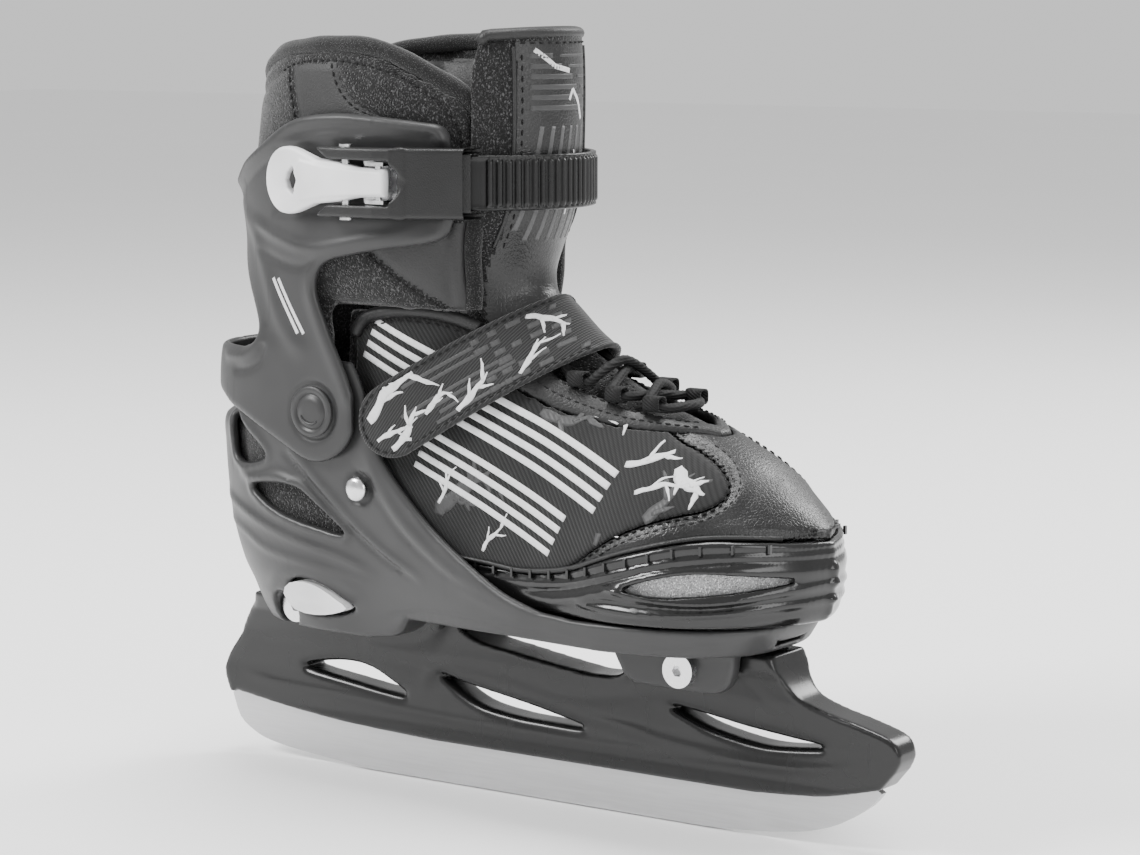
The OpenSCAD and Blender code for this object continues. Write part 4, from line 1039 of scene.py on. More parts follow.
LINER_TRIM = [(-108, 229), (-99, 236), (-90, 241), (-78.2, 245.5), (-70.3, 248), (-61, 249), (-43.7, 248.6),
              (-27.7, 244.8), (-17, 238.5), (-10.5, 232), (-8, 222), (-9.5, 205), (-13, 188), (-12, 168)]
PATCH_LEFT = [(-72, 247), (-70.8, 239.4), (-67.3, 228.3), (-64, 218)]
PATCH_RIGHT = [(-51, 249), (-48, 241.4), (-42, 235.2), (-34, 231.8), (-24, 229)]
PATCH_LOW = [(-44, 192), (-34.3, 183.2), (-24.3, 175.8), (-12, 168)]


def liner():
    g = Grid((-126, -46, 77), (6, 46, 260), 2.6)
    d = liner_distance(g)
    wall = smax(d + 0.8, -(d + 5.2), 3.0)
    outline = np.vstack([[(-130, 81), (-9, 81)], spline(LINER_FRONT[1:]), spline(LINER_TOP), [(-130, 230)]])
    solid = smax(wall, polygon(outline, g.x, g.z) + 0.2, 2.4)
    verts, faces = net(g, solid)
    obj = piece("padded_liner", verts, faces, None, LINER)

    def free(p):
        return 0.3 + 0.7 * step01((p[:, 2] - 222) / 14)

    relax = obj.modifiers.new("relax", "SMOOTH")
    relax.factor, relax.iterations = 0.5, 3
    apply_modifiers(obj)
    inflate(obj, 4.0, 2.2, free)
    soften(obj, 1)
    seams(obj, [LINER_TRIM, PATCH_LEFT, PATCH_RIGHT, PATCH_LOW], 1.1, 1.4)
    obj.data.materials.append(LINER_PATCH)
    centre = np.array([f.center for f in obj.data.polygons]) / MM
    upper = np.vstack([spline(PATCH_LEFT[::-1]), spline(PATCH_RIGHT)])
    lower = np.vstack([spline(PATCH_LOW), [(-8, 168), (-8, 196), (-44, 200)]])
    patch = (polygon(upper, centre[:, 0], centre[:, 2]) < 0) | (polygon(lower, centre[:, 0], centre[:, 2]) < 0)
    obj.data.polygons.foreach_set("material_index", patch.astype(np.int32))
    obj.data.update()
    skin = Skin(obj)
    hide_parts("heel_liner", "liner_cuff")
    ride_like(obj, *LINER_BLEND)
    return skin


# Outer face of the tongue down the middle: x, z, half width, and its cross-section's depth, half and power
TONGUE_WAY = [(13.6, 259.5, 26, 58, 40, 2), (14.4, 246, 28, 60, 40, 2), (14.2, 228, 28, 60, 40, 2),
              (13.2, 210, 28, 60, 40, 2), (10.6, 196, 27, 60, 39, 2), (7.6, 186, 25, 64, 38, 1.95),
              (6.6, 178.5, 22, 72, 37, 1.85), (8.6, 172.6, 19, 80, 37, 1.8), (14, 168, 16, 84, 37, 1.75)]
TONGUE_T = 4.6
TONGUE_PANEL = 19    # half width of its printed front


def tongue():
    way = spline(TONGUE_WAY, 6)
    p = way[:, :2]
    along = unit(np.gradient(p, axis=0))
    out = np.stack([-along[:, 1], along[:, 0]], 1)
    across = np.linspace(-1, 1, 25)
    rings = []
    for (x, z, half, depth, wide, power), n in zip(way, out):
        y = across * half
        drop = depth * (1 - (1 - (np.abs(y) / wide) ** power) ** (1 / power))
        edge = np.sqrt(np.clip(1 - np.abs(across) ** 8, 0.02, 1))
        last = step01((z - 166) / 14)
        thick = mix(2.4, TONGUE_T - 0.9, last) * edge
        mid = -TONGUE_T / 2 - drop
        outer = np.stack([x + n[0] * (mid + thick / 2), y, z + n[1] * (mid + thick / 2)], 1)
        inner = np.stack([x + n[0] * (mid - thick / 2), y, z + n[1] * (mid - thick / 2)], 1)
        rings.append(np.vstack([outer, inner[::-1]]))
    verts, faces = loft(rings)
    obj = piece("padded_tongue", verts, faces[:-2], None, LINER)
    n = 2 * len(across)
    mesh = obj.data
    verts = np.array([v.co for v in mesh.vertices]) / MM
    faces = [tuple(f.vertices) for f in mesh.polygons]
    w = len(across)
    for row in (0, len(rings) - 1):
        for j in range(w - 1):
            quad = (row * n + j, row * n + j + 1, row * n + n - 2 - j, row * n + n - 1 - j)
            faces.append(quad[::-1] if row == 0 else quad)
    mesh.clear_geometry()
    mesh.from_pydata((verts * MM).tolist(), [], faces)
    mesh.validate()
    face_outward(mesh)
    mesh.shade_smooth()

    def free(q):
        return 0.25 + 0.75 * step01((np.abs(q[:, 1]) - TONGUE_PANEL + 1) / 5) * step01((q[:, 2] - 190) / 25)

    inflate(obj, 4.0, 1.8, free)
    soften(obj, 1)
    obj.data.materials.append(TONGUE_FRONT)
    normal = np.array([f.normal for f in obj.data.polygons])
    centre = np.array([f.center for f in obj.data.polygons]) / MM
    panel = (np.abs(centre[:, 1]) < TONGUE_PANEL) & (normal[:, 0] > 0.3) & (centre[:, 2] < 255.5)
    obj.data.polygons.foreach_set("material_index", panel.astype(np.int32))
    obj.data.update()
    skin = Skin(obj)
    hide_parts("tongue")
    ride_like(obj, *TONGUE_BLEND)
    return skin


class Skin:
    """Finds places on a finished piece's surface by looking at it from outside."""

    def __init__(self, obj):
        mesh = obj.data
        self.tree = BVHTree.FromPolygons([v.co / MM for v in mesh.vertices],
                                         [tuple(f.vertices) for f in mesh.polygons])

    def hit(self, start, way, lift=0.0):
        """Places first met from each start point; a miss is not a number."""
        start = np.asarray(start, float)
        flat = start.reshape(-1, 3)
        out = np.full(flat.shape, np.nan)
        for i, p in enumerate(flat):
            at, normal, _, _ = self.tree.ray_cast(Vector(p), Vector(way))
            if at is not None:
                normal = -normal if normal.dot(Vector(way)) > 0 else normal
                out[i] = np.array(at + normal * lift)
        return out.reshape(start.shape)

    def side(self, side):
        def place(x, z, lift=0.0):
            x, z = np.broadcast_arrays(x, z)
            return self.hit(np.stack([x, np.full(x.shape, side * 90.0), z], -1), (0, -side, 0), lift)
        return place

    def front(self, y, z, lift=0.0):
        y, z = np.broadcast_arrays(y, z)
        return self.hit(np.stack([np.full(y.shape, 60.0), y, z], -1), (-1, 0, 0), lift)


def whole_runs(points, least=4):
    """Stretches of a path with no missing place."""
    ok = ~np.isnan(points).any(axis=-1)
    runs, start = [], None
    for i, good in enumerate(list(ok) + [False]):
        if good and start is None:
            start = i
        if not good and start is not None:
            if i - start >= least:
                runs.append(points[start:i])
            start = None
    return runs


def ride_like(obj, start, end):
    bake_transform(obj)


TONGUE_BLEND = (0.168, 0.196)
LINER_BLEND = (0.138, 0.186)


def tongue_trims(skin):
    """Piping, stitches and binding of the tongue, and its printed panel."""
    cord, rows, white, grey_ink, mid = Parts(), Parts(), Parts(), Parts(), Parts()
    zs = np.arange(188, 254.6, 1.2)
    for side in (-1, 1):
        for part, y, r in ((cord, TONGUE_PANEL + 0.6, 0.75), (rows, TONGUE_PANEL - 1.6, 0)):
            for run in whole_runs(skin.front(np.full(len(zs), side * y), zs, 0.15)):
                if r:
                    part.add(*loft(tube(run, r, 8, up=np.tile((1.0, 0, 0), (len(run), 1)))))
                else:
                    stitches(part, run, 2.2, 1.2, 0.34)
    ys = np.linspace(-26, 26, 41)
    top = skin.hit(np.stack([tongue_x(ys), ys, np.full(41, 300.0)], 1), (0, 0, -1))
    for run in whole_runs(top):
        cord.add(*loft(tube(run - (0, 0, 0.6), 2.7, 12, 0.8)))
    for run in whole_runs(skin.front(np.linspace(-25, 25, 51), np.full(51, 255.2), 0.2)):
        stitches(rows, run, 2.2, 1.2, 0.34)
    rng = np.random.default_rng(SEED + 3)

    def stroke(parts, path, width, lift=0.08):
        path = resample(path, 1.2)
        keep = inside_run(path, np.broadcast_to(width, (len(path),)),
                          lambda y, z: (np.abs(y) < TONGUE_PANEL - 2.6) & (z < 253.6) & (z > 189))
        if keep:
            pts = skin.front(keep[0][:, 0], keep[0][:, 1], 0)
            if not np.isnan(pts).any():
                ribbon(parts, keep[0], keep[1], skin.front, lift, 0.3)

    for z, y1 in ((251, -7), (247.6, -3), (244.2, 3), (240.8, 6), (237.4, 10), (234, 13)):
        stroke(grey_ink, [(-16.4, z), (y1, z)], 1.7)
        stroke(grey_ink, [(y1 + 3, z), (16.4, z)], 0.9)
    stroke(white, [(-13.5, 253), (-6, 247.5), (1, 246)], 1.6)
    stroke(white, [(3, 240), (7, 236), (10, 230)], 1.3, 0.12)
    stroke(white, [(3, 240), (1, 236.5)], 1.1, 0.12)
    for y in np.arange(-17, 15, 4.5):
        stroke(mid, [(y, 189), (y + 6, 228)], 1.6)
    for _ in range(3):
        for path, widths in coral(rng, (rng.uniform(-14, 4), rng.uniform(194, 216)), rng.uniform(0.6, 1.6),
                                  16, 1.3, 1):
            stroke(white if rng.random() < 0.3 else mid, path, float(widths.mean()), 0.12)
    for parts, name, ink in ((white, "tongue_print_white", INK_WHITE), (grey_ink, "tongue_print_grey", INK_GREY),
                             (mid, "tongue_print_mid", INK_MID), (cord, "tongue_piping", BINDING),
                             (rows, "tongue_stitches", STITCH)):
        obj = parts.make(name, None, ink, "tongue_print")
        ride_like(obj, *TONGUE_BLEND)


def tongue_x(y):
    """Where the middle of the tongue's top edge is, seen from above."""
    x, _, _, depth, wide, power = TONGUE_WAY[0]
    return x - TONGUE_T / 2 - depth * (1 - (1 - (np.abs(y) / wide) ** power) ** (1 / power))


def liner_trims(skin):
    """Binding along the liner's opening, piping between its panels, and thread rows."""
    cord, rows = Parts(), Parts()
    near = spline([(-8, 168), (-7, 178), (-7, 189), (-3.4, 216)] + [(x, z) for x, z in LINER_TOP[1:-3]] + [(-94, 245)], 5)
    a = np.where(near[:, 0] > CUFF_MID, key(LEG_FRONT, near[:, 1]), key(LEG_REAR, near[:, 1])) - 3.2
    y = (key(LEG_HALF, near[:, 1]) - 3.2) * np.sqrt(np.clip(1 - ((near[:, 0] - CUFF_MID) / a) ** 2, 0.01, 1))
    side = np.stack([near[:, 0], -y, near[:, 1]], 1)
    phi = np.radians(np.linspace(150, 210, 15))[1:-1]
    back_x = CUFF_MID + 52 * np.cos(phi)
    back = np.stack([back_x, -38.3 * np.sin(phi), np.interp(back_x, [-103, -94], [238.5, 245])], 1)
    ring = resample(np.vstack([side, back, (side * (1, -1, 1))[::-1]]), 2.0)
    for _ in range(4):
        ring[1:-1] = 0.25 * ring[:-2] + 0.5 * ring[1:-1] + 0.25 * ring[2:]
    wave = 1 + 0.04 * np.sin(np.arange(len(ring)) * 0.7)
    radial = unit((ring - (CUFF_MID, 0, 0)) * (1, 1.6, 0))
    cord.add(*loft(tube(ring, 3.0 * wave, 12, 0.95, up=radial)))
    for s in (-1, 1):
        place = skin.side(s)
        for line, gap in ((LINER_TRIM[3:12], 0), (PATCH_LEFT, 1.6), (PATCH_RIGHT, 1.6), (PATCH_LOW, 1.6)):
            path = resample(spline(line, 5), 0.8)
            for run in whole_runs(place(path[:, 0] - gap, path[:, 1] - gap * 0.4, 0.12)):
                stitches(rows, run, 2.0, 1.2, 0.32)
    for parts, name, finish in ((cord, "liner_binding", LINER_EDGE), (rows, "liner_stitches", STITCH)):
        obj = parts.make(name, None, finish, "liner_mesh")
        ride_like(obj, *LINER_BLEND)


def padded_insole():
    g = Grid((-112, -34, 75), (94, 34, 82), 1.6)
    xh, xt = -108, 89
    u = (g.x - xh) / (xt - xh)
    half = mix(24.4, 30.8, step01((u - 0.3) / 0.35))
    power = mix(2.2, 2.7, step01((u - 0.3) / 0.35))
    end = np.maximum(np.maximum((0.25 - u) / 0.25, 0), np.maximum((u - 0.72) / 0.28, 0))
    rim = g.distance((np.abs(g.y) / half) ** power + end**power - 1 + 0 * g.z)
    crown = 0.8 * np.exp(-((g.y / 16) ** 2)) * np.exp(-(((g.x + 20) / 40) ** 2))
    solid = smax(smax(rim, g.z - 79.9 + crown, 2.2), 76.5 - g.z, 0.8)
    verts, faces = net(g, solid)
    obj = piece("padded_insole", verts, faces, None, FOAM)
    inflate(obj, 2.0, 0.4)
    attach(obj, "boot")
    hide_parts("insole")


# ------------------------------------------------------------------ instep strap

STRAP_DIR = np.array((0.84, 0.55)) / math.hypot(0.84, 0.55)
STRAP_MID = np.array((-29.0, 131.0))
STRAP_HALF, STRAP_T, STRAP_LIFT = 12.5, 2.6, 2.2
STRAP_WIDE = [[-50, 41], [-36, 40.4], [-24, 39.2], [-10, 37.8], [5, 38.2], [20, 40.2], [38, 42.8], [50, 44]]


def strap_frame(x, z):
    """Place along the strap and across it, seen from the side."""
    u, v = x - STRAP_MID[0], z - STRAP_MID[1]
    return u * STRAP_DIR[0] + v * STRAP_DIR[1], -u * STRAP_DIR[1] + v * STRAP_DIR[0]


def strap_implicit(g, off=0.0):
    n = key(DOME_POWER, g.x)
    up = np.maximum(g.z - DOME_BASE, 0) / (key(DOME_TOP, g.x) + STRAP_LIFT - DOME_BASE + off)
    return (np.abs(g.y) / (key(STRAP_WIDE, g.x) + off)) ** n + up**n - 1


def strap_place(s, w, lift, side=-1):
    """The place on the strap's outer face at s along and w across."""
    x = STRAP_MID[0] + s * STRAP_DIR[0] - w * STRAP_DIR[1]
    z = STRAP_MID[1] + s * STRAP_DIR[1] + w * STRAP_DIR[0]
    n = key(DOME_POWER, x)
    off = STRAP_T + lift
    up = np.clip((z - DOME_BASE) / (key(DOME_TOP, x) + STRAP_LIFT - DOME_BASE + off), 0, 1)
    return np.stack([x, side * (key(STRAP_WIDE, x) + off) * (1 - up**n) ** (1 / n), z], -1)


def strap_rise(s, w):
    """How far up the strap's arch a place is: 1 on the crest."""
    x = STRAP_MID[0] + s * STRAP_DIR[0] - w * STRAP_DIR[1]
    z = STRAP_MID[1] + s * STRAP_DIR[1] + w * STRAP_DIR[0]
    return (z - DOME_BASE) / (key(DOME_TOP, x) + STRAP_LIFT - DOME_BASE + STRAP_T)


def instep_strap():
    g = Grid((-46, -46, 110), (46, 46, 188), 0.9)
    inner = g.distance(strap_implicit(g))
    outer = g.distance(strap_implicit(g, STRAP_T))
    s, w = strap_frame(g.x, g.z)
    near = np.sqrt(np.minimum(s, 0) ** 2 * 1.0 + w**2) - STRAP_HALF
    far = np.maximum(np.abs(w) - STRAP_HALF, 24 - s)
    region = np.where(g.y < 0, near, far)
    edge = 0.45 * np.exp(-(((region + 0.8) / 1.0) ** 2)) - 0.35 * np.exp(-(((region + 2.3) / 0.6) ** 2))
    solid = smax(smax(outer - edge, -inner, 0.8), region, 1.2)
    moulded("instep_strap_band", g, solid, "strap", STRAP, ["instep_strap"])


def strap_seen(s, w):
    return strap_rise(s, w) < 0.985


def strap_trims():
    rng = np.random.default_rng(SEED)
    white, mid, thread_rows = Parts(), Parts(), Parts()
    for w in (-9.0, -6.4, -3.8, -1.2, 4.4, 7.2):
        s0, s1 = rng.uniform(4, 20), rng.uniform(30, 46)
        kept = inside_run(resample([(s0, w), (s1, w)], 1.2), np.full(200, 1.3), strap_seen)
        if kept:
            ribbon(mid, kept[0], 1.3, strap_place, 0.08)
    for s0 in np.arange(34, 66, 5.2):
        for w in (-9, -5.5, -2, 1.5, 5, 8.5):
            if rng.random() < 0.72:
                line = resample([(s0, w), (s0 + rng.uniform(2.2, 4.4), w)], 0.8)
                kept = inside_run(line, np.full(len(line), 1.9), strap_seen)
                if kept:
                    ribbon(mid, kept[0], 1.9, strap_place, 0.08)

    def on_strap(s, w):
        return (np.abs(w) < 9.9) & (strap_rise(s, w) < 0.985) & (s > -8.0)

    plans = [((-8, 3.5), 0.25, 27, 3.6, 1), ((-7.5, -3.5), 0.1, 14, 1.8, 1), ((-4, -8.6), -0.05, 17, 2.6, 1),
             ((12, -4.5), 0.35, 12, 2.0, 1), ((22, -9.0), 0.4, 15, 2.4, 1), ((44, -8.5), 0.7, 12, 1.8, 1),
             ((50, 8.8), -0.3, 12, 1.8, 1)]
    for start, heading, length, width, depth in plans:
        for path, widths in coral(rng, start, heading, length, width, depth):
            kept = inside_run(path, widths, on_strap)
            if kept:
                ribbon(white, kept[0], kept[1], strap_place, 0.1)
    for w in (-10.7, 10.7):
        line = resample([(1, w), (80, w)], 1.0)
        line = line[strap_rise(line[:, 0], line[:, 1]) < 0.99]
        stitches(thread_rows, strap_place(line[:, 0], line[:, 1], 0.05), 2.0, 1.1)
        line = line[line[:, 0] > 27]
        stitches(thread_rows, strap_place(line[:, 0], line[:, 1], 0.05, 1), 2.0, 1.1)
    a = np.radians(np.arange(95, 266, 8))
    tip = np.stack([10.7 * np.cos(a), 10.7 * np.sin(a)], 1)
    stitches(thread_rows, strap_place(tip[:, 0], tip[:, 1], 0.05), 2.0, 1.1)
    white.make("strap_print_white", "strap", INK_WHITE, "strap_print")
    mid.make("strap_print_grey", "strap", INK_GREY, "strap_print")
    thread_rows.make("strap_stitches", "strap", STITCH, "lace_black")


# ------------------------------------------------------------------ prints and trims on the upper


def panel_prints():
    """Straight parallel stripes and splashes printed on both side panels."""
    front = spline(VAMP_FRONT, 5)
    area = np.vstack([seam_strip(-52, 36, 0.3), front, [(52, 134), (34, 143), (10, 155)], spline(COLLAR, 5)])
    for side, name in ((-1, "near"), (1, "far")):
        rng = np.random.default_rng(SEED + 1)
        white, grey_ink = Parts(), Parts()

        def place(x, z, lift, side=side):
            return dome_y(x, z, side, lift)

        def inside(x, z):
            return polygon(area, x, z) < -1.2

        for start, end in (((-46, 157), (-17, 145)), ((-6, 137), (52, 113)), ((-22, 122), (36, 98))):
            path = resample([start, end], 1.2)
            across = unit(np.subtract(end, start))[::-1] * (-1, 1)
            for k in range(4):
                kept = inside_run(path + across * (4.1 * (k - 1.5)), np.full(len(path), 2.1), inside)
                if kept:
                    ribbon(white, kept[0], kept[1], place, 0.1)
        for parts, plans, lift in (
            (grey_ink, [((52, 99), 0.15, 32, 5.0, 2), ((66, 104), 0.5, 22, 4.0, 1), ((-14, 100), 1.1, 26, 6, 2),
                        ((-42, 126), 0.7, 26, 4.5, 1), ((20, 136), -0.3, 20, 3.5, 1)], 0.06),
            (white, [((56, 122), 0.0, 20, 2.4, 1), ((74, 122), -0.9, 14, 3.6, 1), ((63, 114), 0.35, 17, 1.8, 1),
                     ((36, 137), -0.35, 16, 2.4, 1), ((5, 90), 1.3, 13, 1.6, 1), ((-46, 124), 1.0, 18, 1.9, 1),
                     ((-14, 104), 1.3, 14, 1.4, 1), ((80, 110), 0.1, 8, 1.6, 0)], 0.13)):
            for start, heading, length, width, depth in plans:
                for path, widths in coral(rng, start, heading, length, width, depth):
                    kept = inside_run(path, widths, inside)
                    if kept:
                        ribbon(parts, kept[0], kept[1], place, lift)
        white.make(f"panel_print_white_{name}", "toe", INK_WHITE, "printed_textile")
        grey_ink.make(f"panel_print_grey_{name}", "toe", INK_GREY, "printed_textile")


def upper_trims():
    """Rolled collar, piping and thread rows of the upper."""
    rows, rolls = Parts(), Parts()
    front = spline(VAMP_FRONT, 6)
    for side in (-1, 1):
        for off in (0.9, 2.9):
            inner = front + unit(np.gradient(front, axis=0))[:, ::-1] * (off, -off)
            inner = inner[(inner[:, 1] > 88) & (inner[:, 1] < 129)]
            stitches(rows, dome_y(inner[:, 0], inner[:, 1], side, 0.35), 2.2, 1.0)
        collar = spline(COLLAR, 8)
        path = dome_y(collar[:, 0], collar[:, 1], side, 0.6)
        rolls.add(*loft(tube(path, 2.3, 12)))
        low = collar - (0, 3.6)
        stitches(rows, dome_y(low[:, 0], low[:, 1], side, 0.1), 2.2, 1.1)
        edge = spline(throat_edge(EYESTAY_W - 1.1), 5)[4:-6]
        stitches(rows, dome_z(edge[:, 0], edge[:, 1] * side, 1.0), 2.2, 1.0)
        edge = spline(throat_edge(1.2), 5)[4:-6]
        stitches(rows, dome_z(edge[:, 0], edge[:, 1] * side, 1.0), 2.2, 1.0)
        welt = seam_strip(-12, 108, 0.9)
        path = dome_y(welt[:, 0], welt[:, 1], side, 0.25)
        rolls.add(*loft(tube(path, 0.9, 8)))
    rows.make("upper_stitches", "toe", STITCH, "lace_black")
    rolls.make("collar_and_welt_rolls", "toe", BINDING, "black_mesh")


LOOP_X = (30, 44, 57)
LOOP_LIFT = 4.7
LACE_LIFT = 3.8
LACE_D = 3.2
LACE_WAY = [
    (9, 11.6, -0.3), (15, 12.2, -0.3), (20, 12.4, -0.3), (25.5, 14.4, 0.2), (30, 16.6, LACE_LIFT),
    (33.4, 14.6, 3.6), (35.5, 8, 0.8), (37.3, 0, -0.3), (39.4, -8, 0.8), (41, -13.4, 3.4),
    (44, -15, LACE_LIFT), (47, -12.8, 3.4), (49, -7, 0.8), (50.6, 0, -0.3), (52.2, 6, 0.8),
    (54, 11.6, 3.4), (57, 12.6, LACE_LIFT), (60.4, 9.4, 2.6), (61.8, 4, 1.4), (62, 0, 1.2),
    (61.8, -4, 1.4), (60.4, -9.4, 2.6), (57, -12.6, LACE_LIFT), (54, -11.6, 3.4), (52.2, -6, 3),
    (50.6, 0, 3.1), (49, 7, 3), (47, 12.8, 3.4), (44, 15, LACE_LIFT), (41, 13.4, 3.4), (39.4, 8, 3),
    (37.3, 0, 3.1), (35.5, -8, 3), (33.4, -14.6, 3.6), (30, -16.6, LACE_LIFT), (25.5, -14.4, 0.2),
    (20, -12.4, -0.3), (15, -12.2, -0.3), (9, -11.6, -0.3)]


def lacing():
    way = resample(spline(LACE_WAY, 8), 0.9)
    path = dome_z(way[:, 0], way[:, 1])
    path[:, 2] += way[:, 2]
    s = np.arange(len(path))
    braid = LACE_D / 2 * (1 + 0.05 * np.cos(s * math.pi))
    verts, faces = loft(tube(path, braid, 12))
    piece("round_lace", verts, faces, "toe", LACE, ["lace"])
    loops = Parts()
    for side in (-1, 1):
        for x in LOOP_X:
            y = float(key(THROAT_HALF, x)) + 1
            base = dome_z(x, y)
            a = np.radians(np.arange(0, 360, 20))
            ring = np.stack([np.zeros(len(a)), side * 2.35 * np.sign(np.cos(a)) * np.abs(np.cos(a)) ** 0.6,
                             2.3 * np.sign(np.sin(a)) * np.abs(np.sin(a)) ** 0.6], 1)
            centre = base * (1, side, 1) + (0, 0, LOOP_LIFT)
            rings = []
            for p in ring:
                out = unit(p) * 0.35
                rings.append([centre + p + (dx, 0, 0) + out * k for dx, k in
                              ((-3, -1), (3, -1), (3, 1), (-3, 1))])
            rings.append(rings[0])
            rings = np.array(rings)
            m, n = rings.shape[:2]
            body = rings[:-1].reshape(-1, 3)
            faces = [(i * n + j, i * n + (j + 1) % n, ((i + 1) % (m - 1)) * n + (j + 1) % n,
                      ((i + 1) % (m - 1)) * n + j) for i in range(m - 1) for j in range(n)]
            loops.add(body, faces)
    loops.make("webbing_loops", "toe", STITCH, "lace_black", ["lace_loops"])


# ------------------------------------------------------------------ buckle

BOW_A, BOW_B = 66, 45.1
ARM_Z = (7.4, 11.5)


def bow_distance(g):
    return g.distance((g.x - CUFF_MID) ** 2 / BOW_A**2 + g.y**2 / BOW_B**2 - 1 + 0 * g.z)


def bow_angle(g):
    return np.degrees(np.arctan2(-g.y / BOW_B, (g.x - CUFF_MID) / BOW_A))


def buckle_frame():
    g = Grid((-55, -56, 197), (1, -26, 223), 0.5)
    h = g.z - BUCKLE_Z
    d = bow_distance(g)
    t = bow_angle(g)
    arc = np.maximum((39.5 - t) * 0.86, (t - 66) * 0.9)
    swell = 0.5 * np.exp(-(((t - 44) / 6) ** 2))
    plate = smax(smax(np.abs(d - 7.4) - 1.2 - swell, np.abs(h) - ARM_Z[1], 1.4), arc, 1.0)
    walls = smax(smax(np.abs(d - 4.0) - 3.0, np.abs(np.abs(h) - 10.6) - 0.85, 0.5), arc, 0.6)
    plan = polygon([(-52.4, -47), (-52.4, -51.6), (-50, -52.6), (-40, -52.9), (-27, -52.6), (-20.8, -51), (-17, -48.4),
                    (-22, -45.6)], g.x, g.y)
    slant = polygon([(-52, 12), (-45.5, 7.4), (-30, 6.6), (-21.6, 6.2), (-14, 0), (-6, 0), (-6, 12.5), (-36, 11.8)],
                    g.x, np.abs(h))
    arms = smax(smax(plan, np.abs(h) - ARM_Z[1], 1.2), slant, 0.8)
    solid = smin(smin(plate, walls, 0.6), arms, 1.5)
    solid = smax(solid, -smax(np.abs(h) - ARM_Z[0], g.x + 21.6, 0.6), 0.6)
    moulded("buckle_frame_moulding", g, solid, "catch", BUCKLE, ["buckle_frame"])


def buckle_lever():
    g = Grid((-76, -55, 197), (-22, -45, 223), 0.45)
    h = g.z - BUCKLE_Z
    arc = [(-62.8 + 11.2 * math.cos(math.radians(a)), BUCKLE_Z + 11.2 * math.sin(math.radians(a)))
           for a in range(70, 291, 10)]
    outline = np.vstack([[(-23.6, 205.5), (-23.6, 214.5), (-34, 215), (-42, 216.6), (-51, 217.4)], arc,
                         [(-51, 202.6), (-42, 203.4), (-34, 205)]])
    edge = polygon(outline, g.x, g.z)
    top = np.interp(g.x, [-76, -74, -66, -50, -34, -27, -22], [-50.2, -50.6, -52.9, -53.2, -51.8, -51.3, -50.9])
    floor = np.interp(g.x, [-76, -74, -62, -52, -22], [-48.2, -48.2, -48.4, -47.6, -46.9])
    panel = polygon([(-24, 206.8), (-24, 213.2), (-34, 213.6), (-47, 214.6), (-57, 216.4), (-61, 210), (-57, 203.6),
                     (-47, 205.4), (-34, 206.4)], g.x, g.z)
    step = 0.55 * step01(panel / 0.9)
    dish = 1.3 * np.exp(-(((g.x + 64.5) / 3.4) ** 2 + (h / 5.4) ** 2))
    solid = smax(smax(top + step + dish - g.y, g.y - floor, 0.6), edge, 1.4)
    slot = polygon([(-60.6, 205.4), (-58.6, 210), (-60.6, 214.6), (-63.4, 212.6), (-64.4, 210), (-63.4, 207.4)],
                   g.x, g.z)
    solid = smax(solid, -slot, 0.9)
    for at, bore in (((-27, -48.6), 2.6), ((-40, -49.4), 2.8)):
        solid = np.maximum(solid, bore / 2 - np.hypot(g.x - at[0], g.y - at[1]) + 0 * h)
    moulded("buckle_lever_moulding", g, solid, "lever", LEVER, ["buckle_lever"])


def ladder():
    """Ladder strap with sharp raised ribs, wrapped round the leg."""
    g = Grid((-24, -49, 199), (20, 49, 221), 0.6)
    h = g.z - BUCKLE_Z
    d = bow_distance(g)
    t = bow_angle(g)
    ends = np.maximum((-64 - t) * 0.86, (t - 55) * 0.86)
    band = smax(smax(np.abs(d - 1.55) - 0.7, np.abs(h) - 9, 0.5), ends, 1.2)
    pitch = 80 / 24
    tooth = np.abs((t - 38) / pitch - np.round((t - 38) / pitch)) * pitch
    rows = smax(smax(np.abs(d - 2.5) - 0.85, np.abs(h) - 7.6, 0.6), (tooth - 1.0) * 0.95, 0.3)
    rows = smax(rows, np.maximum(t - 40.5, -40.5 - t) * 0.86, 0.3)
    rims = smax(smax(np.abs(d - 2.2) - 0.7, np.abs(np.abs(h) - 8.5) - 0.5, 0.3), ends, 0.6)
    solid = smin(smin(band, rows, 0.3), rims, 0.4)
    solid = np.maximum(solid, -np.maximum(hole(g, (-20, BUCKLE_Z), 4.1), 20 - g.y))
    moulded("ladder_strap_moulding", g, solid, "leg_cuff", LADDER, ["ladder_strap"])


# ------------------------------------------------------------------ turned hardware and button


def turned(parts, profile, at, side, steps=48):
    """Closed round shape from (radius, y) pairs, about a line across the skate."""
    a = 2 * np.pi * np.arange(steps) / steps * side
    rings = [np.stack([at[0] + r * np.cos(a), np.full(steps, side * y), at[1] + r * np.sin(a)], 1)
             for r, y in profile]
    parts.add(*loft(rings))


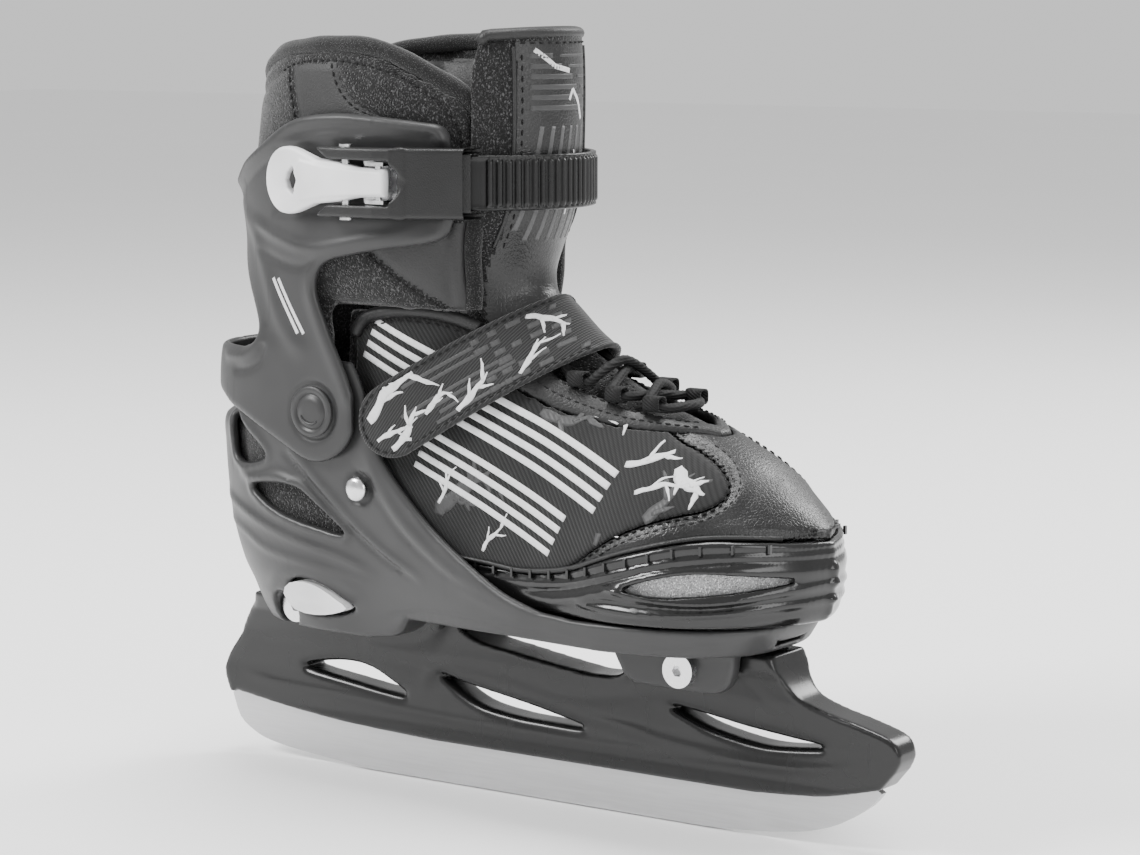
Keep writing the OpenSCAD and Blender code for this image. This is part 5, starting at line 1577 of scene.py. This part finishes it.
def hardware():
    caps, domes = Parts(), Parts()
    for side in (-1, 1):
        turned(caps, [(3, 34.9), (3.9, 34.9), (3.9, 42.2), (8.5, 42.2), (8.7, 42.5), (8.7, 43.2), (8.35, 43.6),
                      (6.5, 43.65), (6.2, 43.1), (5.7, 43.1), (5.4, 43.7), (3, 43.85), (0.2, 43.9)], PIVOT, side)
        turned(domes, [(0.2, 33.5), (3.4, 33.5), (3.4, 34.2), (2, 34.3), (2, 39), (4.2, 39.2), (4.2, 39.6), (3.7, 40.3),
                       (2.6, 40.8), (1.2, 41.0), (0.1, 41.05)], RIVET_AT, side)
        arc = np.radians(np.arange(200, 315, 8))
        path = np.stack([PIVOT[0] + 4.2 * np.cos(arc), np.full(len(arc), side * 43.8),
                         PIVOT[1] + 4.2 * np.sin(arc)], 1)
        caps.add(*loft(tube(path, 0.35 + 0.3 * np.sin(np.linspace(0, math.pi, len(arc))), 8)))
    caps.make("pivot_caps", "boot", CUFF, "cuff_grey", ["cuff_pivot_bolts"])
    domes.make("side_rivet_domes", "boot", BRIGHT, "bright_steel", ["side_rivets"])


def button():
    g = Grid((-84, -35.6, 60), (-53, -23, 73), 0.4)
    area = polygon(spline(BUTTON_EDGE, 6, True), g.x, g.z)
    crown = -33.3 - 1.1 * step01(-area / 5)
    face = smax(smax(crown - g.y, g.y + 28.4, 0.4), area + 0.1, 1.0)
    moulded("size_button", g, face, "button", BUTTON, [])


# ------------------------------------------------------------------ prints on the cuff


def cuff_print(skin):
    """Two plain straight stripes printed on the cuff, both sides."""
    ink = Parts()
    for side in (-1, 1):
        place = skin.side(side)
        for shift in (-1.3, 1.3):
            path = resample([(-77.5 + shift, 176), (-65.5 + shift, 158)], 0.8)
            if not np.isnan(place(path[:, 0], path[:, 1])).any():
                ribbon(ink, path, np.full(len(path), 1.3), place, 0.06, 0.3)
    ink.make("cuff_print", "leg_cuff", INK_WHITE, "white_plastic")


# ------------------------------------------------------------------ finishes of the CAD nodes that stay

NODE_FINISH = [
    (RUNNER, "runner_blade"),
    (BRIGHT, "front_bolt", "front_nut", "rear_bolt", "rear_nut", "base_rivets", "base_pin", "frame_pin",
     "pawl_pin", "buckle_base", "ladder_screw", "ratchet_pawl", "rack_screws", "cuff_pivot_nuts",
     "button_spring", "size_latch"),
    (HIDDEN, "footbed", "size_rack"),
    (BUTTON, "push_button"),
    (SILVER, "toe_vent_mesh")]


def finish_nodes():
    for material, *names in NODE_FINISH:
        for name in names:
            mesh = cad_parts[name].data
            mesh.materials.clear()
            mesh.materials.append(material)


boot_shell()
cuff_obj = cuff()
blade_holder()
toe_shell()
welt_notches()
upper_pieces()
liner_skin = liner()
liner_trims(liner_skin)
tongue_skin = tongue()
tongue_trims(tongue_skin)
padded_insole()
instep_strap()
strap_trims()
panel_prints()
upper_trims()
lacing()
buckle_frame()
buckle_lever()
ladder()
hardware()
button()
cuff_print(Skin(cuff_obj))
finish_nodes()

# ------------------------------------------------------------------ stage

def floor_and_light():
    mesh = bpy.data.meshes.new("floor")
    size = 6.0
    z = -0.0005
    mesh.from_pydata([(-size, -size, z), (size, -size, z), (size, size, z), (-size, size, z)], [], [(0, 1, 2, 3)])
    floor = bpy.data.objects.new("floor", mesh)
    bpy.context.scene.collection.objects.link(floor)
    n = Nodes("floor_paper", 0.9, specular=0.1)
    n.colour(n.blend(n.noise(3, 2), (0.93, 0.93, 0.93), (0.95, 0.95, 0.95)))
    mesh.materials.append(n.mat)
    world = bpy.data.worlds.new("studio")
    bpy.context.scene.world = world
    world.use_nodes = True
    world.node_tree.nodes["Background"].inputs["Color"].default_value = (1, 1, 1, 1)
    world.node_tree.nodes["Background"].inputs["Strength"].default_value = 0.85
    for name, at, power, size in (
        ("key", (-0.9, -1.1, 1.2), 34, 0.6), ("fill", (1.6, -0.5, 0.7), 10, 0.8),
        ("rim", (0.4, 1.3, 1.0), 16, 0.6), ("top", (0.0, 0.1, 1.7), 30, 0.8)):
        light = bpy.data.lights.new(name, "AREA")
        light.energy, light.size = power, size
        lamp = bpy.data.objects.new(name, light)
        lamp.location = at
        aim = Vector((0, 0, 0.12)) - lamp.location
        lamp.rotation_euler = aim.to_track_quat("-Z", "Y").to_euler()
        bpy.context.scene.collection.objects.link(lamp)


def camera():
    data = bpy.data.cameras.new("camera")
    data.lens, data.sensor_width = 104.2, 36.0
    cam = bpy.data.objects.new("camera", data)
    cam.location = (0.6405, -0.8934, 0.2713)
    aim = Vector((0.015, 0.0, 0.1277)) - cam.location
    cam.rotation_euler = aim.to_track_quat("-Z", "Y").to_euler()
    bpy.context.scene.collection.objects.link(cam)
    bpy.context.scene.camera = cam


floor_and_light()
camera()
